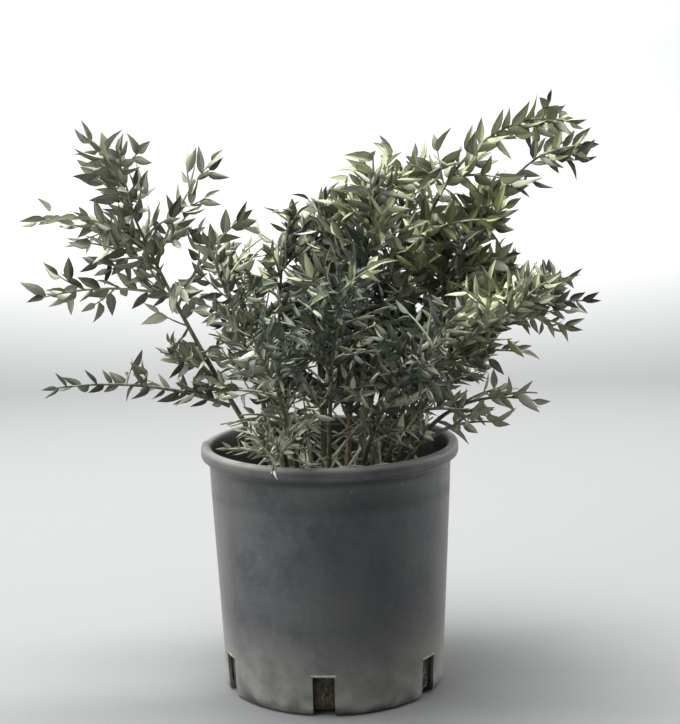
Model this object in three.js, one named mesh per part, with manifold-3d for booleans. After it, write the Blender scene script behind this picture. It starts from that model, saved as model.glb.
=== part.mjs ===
// A butcher's broom in a round nursery pot: a clump of green stems that rise from the potting soil,
// each bare at its foot and carrying a spray-branched mass of stiff, spine-tipped leaves.
// Millimetres, +Z up. The origin is the centre of the pot's underside, +X is to the right as the plant
// is seen from the front, and +Y points away from the viewer.
import * as THREE from 'three';
import { mergeVertices } from 'three/addons/utils/BufferGeometryUtils.js';
import Module from 'manifold-3d';

const wasm = await Module();
wasm.setup();

// Driving dimensions of the pot.
const POT = {
  height: 160, // at the front of the rim
  rimSlant: 9.6, // how much higher the soft rim stands at the back
  baseRadius: 71,
  cornerRise: 3, // height of the rounded corner under the wall
  wallRadiusLow: 74.8,
  wallRadiusHigh: 82.2,
  rimRadius: 87,
  rimBand: 8, // height of the rolled rim's upright band
  rimUnderside: 6, // height of the cove that leads from the wall out to the band
  wall: 2.2,
  floor: 2.5,
  segments: 40,
};

// Drain openings, cut through the pot's bottom corner.
const DRAIN = { count: 6, width: 14, top: 26, reachIn: 7, firstHeading: -95 };

// The soil fills the pot to below the rim and dips a little beside the wall.
const SOIL = { top: 138, flatRadius: 58, edgeDip: 3, fit: 0.3, segments: 32 };

// Bare stems: a flared foot on the soil, then an even taper up to the foliage.
const STEM = { footRadius: 2.9, flareHeight: 12, radius: 2.0, neckRadius: 1.6, sides: 6, steps: 3 };

// Twigs inside the foliage have three sides.
const TWIG = { axisRadius: 1.55, sprayRadius: 1.15, tipRadius: 0.5, axisSteps: 5, spraySteps: 2 };

// Leaves: keeled blades, larger than life because each stands for two or three.
const LEAF = {
  length: 27,
  lengthVaries: 4,
  tipSize: 0.9, // length of a twig's last leaf, as a share of the others'
  halfWidth: 0.19, // half its width, its thickness and its widest place, as shares of its length
  thickness: 0.045,
  widest: 0.36,
  firstAt: 8, // where the first leaf leaves its twig, and the distance from each to the next
  step: 14,
  spread: 50, // angle between leaf and twig at the twig's root and at its tip, in degrees
  spreadAtTip: 34,
  spreadVaries: 14,
  lift: 18, // how far leaves stand out of the twig's plane, in degrees
  liftVaries: 24,
  twist: 40,
  sizes: [1, 0.8, 0.65], // shares of the full size that are tried where room is short
};

// Sprays that the growth rule adds: each turns by the golden angle from the one below and rises more.
const SPRAY = {
  turn: 137.5, lowRise: 0, highRise: 42, riseVaries: 16, arch: 16, lengthAtTop: 0.6, shortest: 34,
};

// Clearances: between neighbouring pieces, and of twigs and leaves from what they must not touch.
const GAP = { seat: 0.3, twig: 3, leaf: 0.9, pot: 2, sample: 4 };

// How far a side mass's three-cornered root reaches back along the stem that it leaves.
const SIDE_CORNER = 0.5;

// How far a joined mass's surface may move where slivers and very short edges are taken out.
const TRIM = 0.1;

// The stems. foot: where it stands on the soil. aim: the point that it heads for as it leaves the soil.
// tip: the tip of its top leaf. neck: the share of the stem that is bare. sprays: side sprays that show
// clearly, each as [share of the stem, heading, rise, length], with headings counted from +X towards +Y
// and lengths up to the tip of the last leaf. fill, reach and turn: how many more sprays the rule adds,
// how long the lowest is, which way it heads, and upTo which share of the stem they grow. side: foliage
// that leaves the bare stem below its neck.
const STEMS = [
  {
    name: 'left', foot: [-36, 10], aim: [-110, -8, 262], tip: [-142, -26, 368], neck: 0.36,
    sprays: [
      [0.53, 180, -1, 96], [0.5, 22, 50, 82], [0.6, 224, 18, 66], [0.62, 24, 58, 90],
      [0.72, 176, 5, 80], [0.66, 130, 22, 56], [0.84, 250, 40, 44], [0.8, 205, 40, 42],
      [0.87, 330, 40, 34], [0.9, 190, 44, 34], [0.76, 196, 44, 46], [0.66, 205, 26, 54],
    ],
    fill: 2, reach: 50, turn: 290, upTo: 0.9,
    side: [
      { name: 'left_low', at: 0.2, heading: 189, rise: 7, length: 126 },
      { name: 'left_front', at: 0.27, heading: 212, rise: 25, length: 54 },
    ],
  },
  {
    name: 'left_inner', foot: [-31, -14], aim: [-46, -24, 216], tip: [-76, -42, 302], neck: 0.24,
    sprays: [], fill: 10, reach: 52, turn: 30, upTo: 0.9,
    side: [],
  },
  {
    name: 'centre_left', foot: [-22, 2], aim: [-44, 2, 252], tip: [-20, -6, 322], neck: 0.18,
    sprays: [[0.66, 165, 14, 46]], fill: 8, reach: 52, turn: 290, upTo: 0.9,
    side: [],
  },
  {
    name: 'front_left', foot: [-20, -26], aim: [-28, -62, 214], tip: [-42, -130, 240], neck: 0.2,
    sprays: [], fill: 9, reach: 54, turn: 90, upTo: 0.9,
    side: [],
  },
  {
    name: 'front', foot: [-1, -32], aim: [2, -62, 240], tip: [10, -132, 276], neck: 0.14,
    sprays: [], fill: 10, reach: 62, turn: 200, upTo: 0.9,
    side: [],
  },
  {
    name: 'front_right', foot: [18, -28], aim: [34, -62, 214], tip: [72, -124, 242], neck: 0.16,
    sprays: [], fill: 9, reach: 60, turn: 120, upTo: 0.9,
    side: [],
  },
  {
    name: 'front_low', foot: [-27, -38], aim: [-28, -72, 194], tip: [-32, -118, 158], neck: 0.4,
    sprays: [[0.62, 150, 16, 40], [0.76, 205, 10, 42]], fill: 0, reach: 0, turn: 0, upTo: 0.9,
    side: [],
  },
  {
    name: 'centre', foot: [-4, 4], aim: [-8, -2, 270], tip: [14, 12, 330], neck: 0.18,
    sprays: [], fill: 9, reach: 60, turn: 60, upTo: 0.88,
    side: [],
  },
  {
    name: 'centre_right', foot: [11, -9], aim: [20, -22, 276], tip: [36, -42, 348], neck: 0.17,
    sprays: [], fill: 10, reach: 62, turn: 250, upTo: 0.88,
    side: [],
  },
  {
    name: 'top_right', foot: [18, 12], aim: [40, 26, 288], tip: [64, 34, 362], neck: 0.2,
    sprays: [], fill: 9, reach: 62, turn: 20, upTo: 0.88,
    side: [],
  },
  {
    name: 'right_high', foot: [28, -4], aim: [56, -4, 399], tip: [166, -4, 374], neck: 0.26,
    sprays: [
      [0.33, 200, 12, 56], [0.4, 330, 8, 58], [0.46, 110, 16, 58], [0.52, 235, 14, 54],
      [0.55, 335, -6, 46], [0.6, 215, -20, 40], [0.84, 50, -12, 38], [0.88, 320, -14, 36],
    ],
    fill: 0, reach: 0, turn: 0, upTo: 0.9,
    side: [],
  },
  {
    name: 'right', foot: [37, 8], aim: [104, 6, 368], tip: [172, 4, 358], neck: 0.21,
    sprays: [
      [0.8, 345, 8, 38], [0.36, 335, 16, 50], [0.42, 60, 20, 50], [0.5, 290, 4, 46],
    ],
    fill: 9, reach: 58, turn: 80, upTo: 0.52,
    side: [],
  },
  {
    name: 'right_middle', foot: [41, -8], aim: [88, -10, 266], tip: [180, -12, 255], neck: 0.21,
    sprays: [
      [0.66, 345, -14, 46], [0.7, 30, 26, 44], [0.44, 75, 38, 52], [0.52, 285, 32, 48],
      [0.42, 340, 0, 52],
    ],
    fill: 8, reach: 58, turn: 150, upTo: 0.84,
    side: [],
  },
  {
    name: 'right_front', foot: [32, -22], aim: [62, -58, 240], tip: [132, -106, 262], neck: 0.17,
    sprays: [], fill: 9, reach: 58, turn: 310, upTo: 0.88,
    side: [],
  },
  {
    name: 'right_back', foot: [31, 24], aim: [80, 42, 276], tip: [160, 60, 272], neck: 0.2,
    sprays: [], fill: 8, reach: 56, turn: 40, upTo: 0.8,
    side: [],
  },
  {
    name: 'right_low', foot: [48, 2], aim: [76, 0, 208], tip: [150, -6, 186], neck: 0.3,
    sprays: [
      [0.5, 20, 16, 42], [0.6, 40, 10, 40], [0.72, 335, 4, 40],
    ],
    fill: 0, reach: 0, turn: 0, upTo: 0.9,
    side: [],
  },
  {
    name: 'right_low_front', foot: [42, -24], aim: [66, -40, 190], tip: [114, -52, 180], neck: 0.36,
    sprays: [[0.62, 300, 20, 38]], fill: 0, reach: 0, turn: 0, upTo: 0.9,
    side: [],
  },
  {
    name: 'back_left', foot: [-28, 28], aim: [-44, 62, 254], tip: [-80, 114, 298], neck: 0.18,
    sprays: [], fill: 9, reach: 62, turn: 144, upTo: 0.9,
    side: [],
  },
  {
    name: 'back', foot: [-4, 38], aim: [-2, 76, 262], tip: [-6, 146, 292], neck: 0.18,
    sprays: [], fill: 9, reach: 62, turn: 0, upTo: 0.9,
    side: [],
  },
  {
    name: 'back_right', foot: [20, 38], aim: [46, 78, 268], tip: [90, 124, 306], neck: 0.18,
    sprays: [], fill: 9, reach: 62, turn: 220, upTo: 0.9,
    side: [],
  },
  {
    name: 'back_high', foot: [-2, 20], aim: [-10, 34, 280], tip: [-18, 58, 316], neck: 0.21,
    sprays: [], fill: 7, reach: 58, turn: 100, upTo: 0.9,
    side: [],
  },
];

const COLOURS = {
  pot: { color: 0x5a5e61, roughness: 0.62 },
  soil: { color: 0x2c241c, roughness: 0.98 },
  stem: { color: 0x56624a, roughness: 0.7 },
  foliage: { color: 0x5d6b4f, roughness: 0.55 },
};

const UP = new THREE.Vector3(0, 0, 1);

// Seeded random numbers from 0 to 1, the same on every run.
function seededRandom(seed) {
  let state = (seed * 2654435761) >>> 0;
  return () => {
    state = (Math.imul(state, 1664525) + 1013904223) >>> 0;
    return state / 4294967296;
  };
}

// A unit vector with that heading in plan and that rise above the level, in degrees.
function direction(heading, rise) {
  const turn = THREE.MathUtils.degToRad(heading);
  const lift = THREE.MathUtils.degToRad(rise);
  return new THREE.Vector3(
    Math.cos(turn) * Math.cos(lift), Math.sin(turn) * Math.cos(lift), Math.sin(lift),
  );
}

// A closed geometry as a solid.
function solidOf(geometry) {
  const bare = geometry.index ? geometry.toNonIndexed() : geometry.clone();
  bare.deleteAttribute('normal');
  bare.deleteAttribute('uv');
  const merged = mergeVertices(bare, 1e-4);
  return new wasm.Manifold(new wasm.Mesh({
    numProp: 3,
    vertProperties: new Float32Array(merged.attributes.position.array),
    triVerts: new Uint32Array(merged.index.array),
  }));
}

// A solid as a geometry.
function geometryOf(solid) {
  const mesh = solid.getMesh();
  return new THREE.BufferGeometry()
    .setAttribute('position', new THREE.BufferAttribute(new Float32Array(mesh.vertProperties), 3))
    .setIndex(new THREE.BufferAttribute(new Uint32Array(mesh.triVerts), 1));
}

function pieceMesh(name, geometry, look) {
  const flat = geometry.index ? geometry.toNonIndexed() : geometry;
  flat.computeVertexNormals();
  const mesh = new THREE.Mesh(flat, new THREE.MeshStandardMaterial({ ...look, metalness: 0 }));
  mesh.name = name;
  return mesh;
}

// A turned shape about Z. The profile is a list of [radius, height] that starts and ends on the axis,
// from the underside outwards, up and back in.
function turned(profile, segments) {
  const points = profile.map(([radius, height]) => new THREE.Vector2(radius, height));
  return new THREE.LatheGeometry(points, segments).rotateX(Math.PI / 2);
}

// The wall's outer radius at a height.
function wallRadius(height) {
  const share = (height - POT.cornerRise) / (POT.height - POT.cornerRise);
  return THREE.MathUtils.lerp(POT.wallRadiusLow, POT.wallRadiusHigh, share);
}

// How far the slanting rim stands above its front, at a distance behind the pot's axis.
function rimLift(behind) {
  return (POT.rimSlant * (behind + POT.rimRadius)) / (2 * POT.rimRadius);
}

function potSolid() {
  const bandFoot = POT.height - POT.rimBand;
  const coveFoot = bandFoot - POT.rimUnderside;
  const slantFoot = SOIL.top + 2;
  const inner = (height) => wallRadius(height) - POT.wall;
  const profile = [
    [0, 0],
    [POT.baseRadius, 0],
    [POT.wallRadiusLow, POT.cornerRise],
    [wallRadius(coveFoot), coveFoot],
    [wallRadius(coveFoot) + 1.6, coveFoot + 3.4],
    [POT.rimRadius, bandFoot],
    [POT.rimRadius, POT.height - 2],
    [POT.rimRadius - 1.4, POT.height - 0.4],
    [POT.rimRadius - 3.2, POT.height],
    [inner(POT.height) + 1.6, POT.height - 0.6],
    [inner(POT.height), POT.height - 2.6],
    [inner(slantFoot), slantFoot],
    [inner(POT.floor + 2), POT.floor + 2],
    [inner(POT.floor) - 2, POT.floor],
    [0, POT.floor],
  ];
  let pot = solidOf(turned(profile, POT.segments)).warp((point) => {
    if (point[2] > slantFoot + 1) point[2] += rimLift(point[1]);
  });
  const depth = 2 * DRAIN.reachIn + 8;
  for (let k = 0; k < DRAIN.count; k += 1) {
    const cutter = new THREE.BoxGeometry(depth, DRAIN.width, 2 * DRAIN.top)
      .translate(POT.baseRadius - DRAIN.reachIn + depth / 2, 0, 0)
      .rotateZ(THREE.MathUtils.degToRad(DRAIN.firstHeading + (k * 360) / DRAIN.count));
    pot = pot.subtract(solidOf(cutter));
  }
  return pot;
}

function soilGeometry() {
  const radius = (height) => wallRadius(height) - POT.wall - SOIL.fit;
  const edgeTop = SOIL.top - SOIL.edgeDip;
  const bottom = POT.floor + SOIL.fit;
  return turned([
    [0, bottom],
    [radius(bottom) - 2.4, bottom],
    [radius(bottom + 2.4), bottom + 2.4],
    [radius(edgeTop), edgeTop],
    [SOIL.flatRadius, SOIL.top],
    [0, SOIL.top],
  ], SOIL.segments);
}

// The part of a direction that is square to another, as a unit vector.
function squareTo(along, vector) {
  return vector.clone().addScaledVector(along, -vector.dot(along)).normalize();
}

// The direction of a line of points at one of them.
function headingAt(points, i) {
  const before = points[Math.max(i - 1, 0)];
  const after = points[Math.min(i + 1, points.length - 1)];
  return after.clone().sub(before).normalize();
}

// A closed skin over rings that all have the same number of corners. It starts with a flat end, and
// closes on a point.
function skin(rings, sides, point) {
  const faces = [];
  const last = (rings.length - 1) * sides;
  for (let k = 0; k < sides; k += 1) {
    const next = (k + 1) % sides;
    for (let ring = 0; ring < last; ring += sides) {
      faces.push(ring + k, ring + next, ring + sides + next, ring + k, ring + sides + next, ring + sides + k);
    }
    if (k > 0 && next > 0) faces.push(0, next, k);
    faces.push(last + k, last + next, last + sides);
  }
  return new THREE.BufferGeometry().setFromPoints([...rings.flat(), point]).setIndex(faces);
}

// A bare stem: rings along its points, the first one lying level on the soil.
function stemGeometry(points, radii) {
  const rings = points.map((point, i) => {
    const along = headingAt(points, i);
    const side = squareTo(along, new THREE.Vector3(1, 0, 0));
    const across = new THREE.Vector3().crossVectors(along, side);
    return Array.from({ length: STEM.sides }, (_, k) => {
      const turn = (2 * Math.PI * k) / STEM.sides;
      const corner = point.clone()
        .addScaledVector(side, radii[i] * Math.cos(turn))
        .addScaledVector(across, radii[i] * Math.sin(turn));
      if (i === 0) corner.addScaledVector(along, (point.z - corner.z) / along.z);
      return corner;
    });
  });
  return skin(rings, STEM.sides, points.at(-1));
}

// The three corners of a twig or of a keeled leaf: two at the sides and one on top.
function keeledRing(centre, side, top, halfWidth, height) {
  return [
    centre.clone().addScaledVector(side, -halfWidth).addScaledVector(top, -height / 3),
    centre.clone().addScaledVector(side, halfWidth).addScaledVector(top, -height / 3),
    centre.clone().addScaledVector(top, (height * 2) / 3),
  ];
}

// A twig that widens into its own last leaf, or that ends in a point where the leaf has no room.
function twigGeometry(run, leafy) {
  const { points, radii, side, tipLeaf } = run;
  const rings = points.map((point, i) => {
    const along = headingAt(points, i);
    const square = squareTo(along, side);
    const top = new THREE.Vector3().crossVectors(along, square);
    return keeledRing(point, square, top, radii[i] * 0.87, radii[i] * 1.5);
  });
  const { root, along, across, face, length } = tipLeaf;
  if (!leafy) return skin(rings, 3, root.clone().addScaledVector(along, 3 * TWIG.tipRadius));
  const widest = root.clone().addScaledVector(along, length * LEAF.widest);
  rings.push(keeledRing(widest, across, face, length * LEAF.halfWidth, length * LEAF.thickness));
  return skin(rings, 3, root.clone().addScaledVector(along, length));
}

// A side leaf: a keeled blade that is pointed at its root and its tip.
function leafGeometry(leaf) {
  const { root, along, across, face, length } = leaf;
  const widest = root.clone().addScaledVector(along, length * LEAF.widest);
  const ring = keeledRing(widest, across, face, length * LEAF.halfWidth, length * LEAF.thickness);
  const points = [root, ...ring, root.clone().addScaledVector(along, length)];
  const faces = [0, 2, 1, 0, 3, 2, 0, 1, 3, 4, 1, 2, 4, 2, 3, 4, 3, 1];
  return new THREE.BufferGeometry().setFromPoints(points).setIndex(faces);
}

// The places on a leaf that have to stay in its own space.
function leafPlaces(leaf) {
  const { root, along, across, length } = leaf;
  const at = (share, side) => root.clone()
    .addScaledVector(along, length * share)
    .addScaledVector(across, side * length * LEAF.halfWidth);
  return [
    at(1, 0), at(0.8, 0.3), at(0.8, -0.3), at(0.6, 0.6), at(0.6, -0.6), at(0.5, 0),
    at(LEAF.widest, 1), at(LEAF.widest, -1),
  ];
}

// Everything that has grown so far, as short straight runs: { line, radius, owner }. The owner of a
// run is its node.
const grown = [];

function remember(points, radii, owner) {
  for (let i = 1; i < points.length; i += 1) {
    grown.push({ line: new THREE.Line3(points[i - 1], points[i]), radius: radii[i - 1], owner });
  }
}

function rememberTwig(run, owner) {
  const { root, along, length } = run.tipLeaf;
  remember([...run.points, root.clone().addScaledVector(along, length)], run.radii, owner);
}

// The distance from a place to the nearest surface that passes the test, and to its centre line.
function nearest(place, test) {
  const closest = new THREE.Vector3();
  let surface = Infinity;
  let line = Infinity;
  for (const run of grown) {
    if (!test(run)) continue;
    const distance = run.line.closestPointToPoint(place, true, closest).distanceTo(place);
    surface = Math.min(surface, distance - run.radius);
    line = Math.min(line, distance);
  }
  return { surface, line };
}

// True where a place is clear of the pot and the soil.
function clearOfPot(place) {
  const radius = Math.hypot(place.x, place.y);
  if (place.z > POT.height + rimLift(place.y) + GAP.pot) return true;
  if (radius > POT.rimRadius + GAP.pot) return true;
  return radius < wallRadius(place.z) - POT.wall - GAP.pot && place.z > SOIL.top + GAP.pot;
}

// A twig along part of a curve: its points, the radius falling evenly from one end to the other, the
// direction in which its leaves spread to the side, and its last leaf, which ends where the part ends.
function twigAlong(curve, from, to, steps, fromRadius, roll) {
  const size = LEAF.length * LEAF.tipSize;
  const end = to - (0.9 * size) / curve.getLength();
  const points = [];
  const radii = [];
  for (let i = 0; i <= steps; i += 1) {
    points.push(curve.getPoint(THREE.MathUtils.lerp(from, end, i / steps)));
    radii.push(THREE.MathUtils.lerp(fromRadius, TWIG.tipRadius, i / steps));
  }
  const start = points[1].clone().sub(points[0]).normalize();
  const side = squareTo(start, UP).cross(start).applyAxisAngle(start, roll);
  const along = points.at(-1).clone().sub(points.at(-2)).normalize();
  const across = squareTo(along, side);
  const face = new THREE.Vector3().crossVectors(along, across);
  const tipLeaf = { root: points.at(-1), along, across, face, length: size };
  return { points, radii, side, tipLeaf };
}

// The curve that a stem follows from its foot to its tip.
function stemCurve(stem) {
  return new THREE.QuadraticBezierCurve3(
    new THREE.Vector3(...stem.foot, SOIL.top + GAP.seat),
    new THREE.Vector3(...stem.aim),
    new THREE.Vector3(...stem.tip),
  );
}

// A spray's curve: it leaves steeply and levels out towards its tip.
function sprayCurve(start, heading, rise, length) {
  return new THREE.QuadraticBezierCurve3(
    start,
    start.clone().addScaledVector(direction(heading, rise + SPRAY.arch), length / 2),
    start.clone().addScaledVector(direction(heading, rise), length),
  );
}

// Where a side mass starts: beside the bare stem, just clear of it.
function besideStem(stem, side) {
  const { curve, length } = stem.bare;
  const heading = direction(side.heading, side.rise + SPRAY.arch);
  const lean = Math.abs(heading.dot(curve.getTangent(side.at)));
  const offset = bareRadius(side.at / stem.neck, length) + GAP.seat + SIDE_CORNER * lean;
  return curve.getPoint(side.at).addScaledVector(heading, offset / Math.sqrt(1 - lean * lean));
}

// The stem's radius at a share of its bare length: the flare at the foot, then the taper.
function bareRadius(share, length) {
  const taper = THREE.MathUtils.lerp(STEM.radius, STEM.neckRadius, share);
  const flare = Math.max(0, 1 - (share * length) / STEM.flareHeight);
  return taper + (STEM.footRadius - STEM.radius) * flare * flare;
}

function bareStem(stem) {
  const curve = stemCurve(stem);
  const length = curve.getLength() * stem.neck;
  const shares = [0, 0.35 * STEM.flareHeight / length, STEM.flareHeight / length];
  for (let i = 1; i <= STEM.steps; i += 1) {
    shares.push(THREE.MathUtils.lerp(STEM.flareHeight / length, 1, i / STEM.steps));
  }
  const points = shares.map((share) => curve.getPoint(share * stem.neck));
  const radii = shares.map((share) => bareRadius(share, length));
  return { curve, length, points, radii };
}

// The share of a curve, from its start, that stays clear of other stems' growth and of the pot.
function clearShare(curve, owner, radius) {
  const length = curve.getLength();
  const count = Math.ceil(length / GAP.sample);
  const others = (run) => run.owner !== owner;
  for (let i = 1; i <= count; i += 1) {
    const place = curve.getPoint(i / count);
    const tooNear = nearest(place, others).surface < radius + GAP.twig;
    if (tooNear || !clearOfPot(place)) return Math.max(0, (i - 1) / count - GAP.twig / length);
  }
  return 1;
}

// The sprays of one mass, as [share, heading, rise, length]: those that are named, then the rule's own.
function spraysOf(stem, random) {
  const made = stem.sprays.slice();
  for (let k = 0; k < stem.fill; k += 1) {
    const height = (k + 0.6) / stem.fill;
    made.push([
      THREE.MathUtils.lerp(stem.neck + 0.03, stem.upTo, height),
      stem.turn + k * SPRAY.turn,
      THREE.MathUtils.lerp(SPRAY.lowRise, SPRAY.highRise, height) + (random() - 0.5) * SPRAY.riseVaries,
      stem.reach * THREE.MathUtils.lerp(1, SPRAY.lengthAtTop, height),
    ]);
  }
  return made;
}

// The side leaves along one twig, left and right in turn, lifted a little to one side of its plane.
// Each root is sunk past the twig's centre line, so that the blade is already broad where it comes out.
function leavesAlong(run, random) {
  const path = new THREE.CurvePath();
  for (let i = 1; i < run.points.length; i += 1) {
    path.add(new THREE.LineCurve3(run.points[i - 1], run.points[i]));
  }
  const length = path.getLength();
  const vary = (range) => (random() - 0.5) * range;
  const leaves = [];
  for (let k = 0; LEAF.firstAt + k * LEAF.step < length; k += 1) {
    const place = (LEAF.firstAt + k * LEAF.step) / length;
    const axis = path.getTangent(place);
    const side = squareTo(axis, run.side).multiplyScalar(k % 2 ? 1 : -1);
    const lift = THREE.MathUtils.degToRad(LEAF.lift + vary(LEAF.liftVaries)) * (k % 2 ? 1 : -1);
    const out = side.applyAxisAngle(axis, lift);
    const spread = THREE.MathUtils.lerp(LEAF.spread, LEAF.spreadAtTip, place) + vary(LEAF.spreadVaries);
    const lean = THREE.MathUtils.degToRad(spread);
    const along = axis.clone().multiplyScalar(Math.cos(lean)).addScaledVector(out, Math.sin(lean));
    const face = new THREE.Vector3().crossVectors(axis, out).normalize();
    face.applyAxisAngle(along, THREE.MathUtils.degToRad(vary(LEAF.twist)));
    const radius = THREE.MathUtils.lerp(run.radii[0], TWIG.tipRadius, place);
    leaves.push({
      root: path.getPoint(place).addScaledVector(along, (-0.35 * radius) / Math.sin(lean)),
      along,
      face,
      across: new THREE.Vector3().crossVectors(face, along),
      length: LEAF.length + vary(LEAF.lengthVaries),
    });
  }
  return leaves;
}

// True where a leaf keeps to its own mass's space: nearer to its own twigs than to any others, off the
// bare stems and off the pot.
function leafFits(leaf, owner) {
  return leafPlaces(leaf).every((place) => {
    const own = nearest(place, (run) => run.owner === owner).line;
    const other = nearest(place, (run) => run.owner !== owner);
    return clearOfPot(place) && other.surface > GAP.leaf && other.line > own + GAP.leaf;
  });
}

// The leaf at the largest of the sizes that fits its space, or nothing where none does.
function fitted(leaf, owner) {
  return LEAF.sizes
    .map((size) => ({ ...leaf, length: leaf.length * size }))
    .find((sized) => leafFits(sized, owner));
}

// One mass of foliage before its sprays and leaves: its own stem.
function massFrom(name, curve, from, seed) {
  const random = seededRandom(seed);
  const axis = twigAlong(curve, from, 1, TWIG.axisSteps, TWIG.axisRadius, random() * Math.PI);
  rememberTwig(axis, name);
  return { name, curve, axis, random, twigs: [] };
}

function growSprays(mass, sprays) {
  for (const [share, heading, rise, length] of sprays) {
    const curve = sprayCurve(mass.curve.getPoint(share), heading, rise, length);
    const clear = clearShare(curve, mass.name, TWIG.sprayRadius);
    const roll = mass.random() * Math.PI;
    if (clear * length < SPRAY.shortest) continue;
    const run = twigAlong(curve, 0, clear, TWIG.spraySteps, TWIG.sprayRadius, roll);
    rememberTwig(run, mass.name);
    mass.twigs.push(run);
  }
}

// The finished mass: its stem, sprays and leaves, joined into one solid. Only the largest body is kept,
// which drops loose scraps and fills any hollow that leaves close in.
function massSolid(mass) {
  const runs = [mass.axis, ...mass.twigs];
  const leaves = runs.flatMap((run) => leavesAlong(run, mass.random));
  const shapes = [
    ...runs.map((run) => twigGeometry(run, leafFits(run.tipLeaf, mass.name))),
    ...leaves.map((leaf) => fitted(leaf, mass.name)).filter(Boolean).map(leafGeometry),
  ];
  const joined = wasm.Manifold.union(shapes.map(solidOf)).asOriginal().simplify(TRIM);
  return joined.decompose().reduce((best, body) => (body.volume() > best.volume() ? body : best));
}

// Bare stems first, then every mass's own stem, then sprays, so that what comes later keeps clear.
const stems = STEMS.map((stem) => ({ ...stem, bare: bareStem(stem) }));
for (const stem of stems) remember(stem.bare.points, stem.bare.radii, `stem_${stem.name}`);

const masses = [];
stems.forEach((stem, i) => {
  const { curve } = stem.bare;
  const from = stem.neck + GAP.seat / curve.getLength();
  const mass = massFrom(`foliage_${stem.name}`, curve, from, i + 1);
  masses.push({ mass, sprays: spraysOf(stem, mass.random) });
  stem.side.forEach((side, k) => {
    const branch = sprayCurve(besideStem(stem, side), side.heading, side.rise, side.length);
    masses.push({ mass: massFrom(`foliage_${side.name}`, branch, 0, 100 + 10 * i + k), sprays: [] });
  });
});
for (const { mass, sprays } of masses) growSprays(mass, sprays);

const plant = new THREE.Group();
plant.add(pieceMesh('pot', geometryOf(potSolid()), COLOURS.pot));
plant.add(pieceMesh('soil', soilGeometry(), COLOURS.soil));
for (const stem of stems) {
  const { points, radii } = stem.bare;
  plant.add(pieceMesh(`stem_${stem.name}`, stemGeometry(points, radii), COLOURS.stem));
}
for (const { mass } of masses) {
  plant.add(pieceMesh(mass.name, geometryOf(massSolid(mass)), COLOURS.foliage));
}

export default plant;
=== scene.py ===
# A butcher's broom in a round nursery pot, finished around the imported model: grooved green stems,
# leafy twigs that follow the model's own rule of growth, a weathered plastic pot and crumbly soil.
# Tables and growth are in millimetres, as in the model's source; every mesh is in metres.
import math
from collections import namedtuple

import bmesh
import bpy
import numpy as np
from mathutils import Matrix, Vector, noise


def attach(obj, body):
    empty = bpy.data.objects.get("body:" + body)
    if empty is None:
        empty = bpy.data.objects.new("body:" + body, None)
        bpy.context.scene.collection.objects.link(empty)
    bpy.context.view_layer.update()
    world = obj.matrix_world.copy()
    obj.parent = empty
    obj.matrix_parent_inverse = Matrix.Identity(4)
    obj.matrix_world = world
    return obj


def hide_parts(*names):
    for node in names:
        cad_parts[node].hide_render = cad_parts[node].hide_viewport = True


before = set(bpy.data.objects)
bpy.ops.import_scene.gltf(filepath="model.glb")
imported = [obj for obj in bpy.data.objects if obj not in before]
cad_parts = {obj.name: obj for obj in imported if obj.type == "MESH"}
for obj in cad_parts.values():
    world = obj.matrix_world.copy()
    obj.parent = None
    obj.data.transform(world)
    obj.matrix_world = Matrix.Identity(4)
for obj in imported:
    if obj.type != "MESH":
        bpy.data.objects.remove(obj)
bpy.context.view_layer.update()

MM = 0.001
UP = np.array([0.0, 0.0, 1.0])

# The camera: its place, its lens and sensor, how far it looks down and how far its picture is turned.
EYE = (8.0, -751.5, 286.0)
CAMERA = dict(lens=55.4, sensor=36, down=5.23, turn=1.2)

# Soft lights, in metres and watts: name, place, what each points at, size and power.
MIDDLE = (0, 0, 0.2)
LIGHTS = [
    ("roof", (-0.3, -0.1, 1.9), MIDDLE, (1.1, 1.1), 74),
    ("left window", (-1.9, 0.4, 0.9), MIDDLE, (1.4, 1.8), 29),
    ("right window", (1.9, 0.6, 0.8), MIDDLE, (1.2, 1.6), 25),
    ("front left window", (-1.7, -1.4, 1.0), MIDDLE, (1.2, 1.2), 20),
    ("back wall", (0, 0.5, 2.6), (0, 2.4, 1.0), (3.0, 1.0), 230),
]
ROOM_LIGHT = 0.3

# The pot and its soil, as in the model. The rim stands higher at the back by its slant.
POT = dict(
    height=160, base_radius=71, corner_rise=3, wall_low=74.8, wall_high=82.2, rim_radius=87,
    rim_band=8, rim_underside=6, rim_slant=9.6, wall=2.2, floor=2.5, segments=160,
)
DRAIN = dict(count=6, width=14, top=26, reach_in=7, first_heading=-95)
SOIL = dict(top=138, flat_radius=58, edge_dip=3, fit=0.3, segments=120)

# Threads of root behind each drain opening: how many, where they lie and how thick they are.
ROOTS = dict(
    count=16, steps=9, radius=70.9, bulge=0.7, half_width=5.6, lowest=3.6, highest=22,
    thinnest=0.2, thickest=0.45,
)

# Crumbs of bark on the soil: how many to a square metre, and how far across the usual one is.
CRUMB = dict(density=90000.0, size=3)

# Stems and twigs: radii, and how the flare at a stem's foot runs out.
STEM = dict(foot_radius=2.9, flare_height=12, radius=2.0, neck_radius=1.6, steps=3)
TWIG = dict(axis_radius=1.55, spray_radius=1.15, tip_radius=0.5, axis_steps=5, spray_steps=2)

# The model's large leaves matter only for how far its twigs are remembered.
MODEL_TIP_LEAF = 27 * 0.9

# The model's rule for sprays. Angles are in degrees; length_at_top is a share of the lowest's length.
SPRAY = dict(
    turn=137.5, low_rise=0, high_rise=42, rise_varies=16, arch=16, length_at_top=0.6, shortest=34,
)

# Sprays between the model's own: they begin below and end above them by these shares of the limb, are
# turned from them by an angle, and the lowest is as long as this share of the model's.
FURTHER = dict(below=0.06, above=0.02, turn=62, rise_varies=30, length=0.95)

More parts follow.
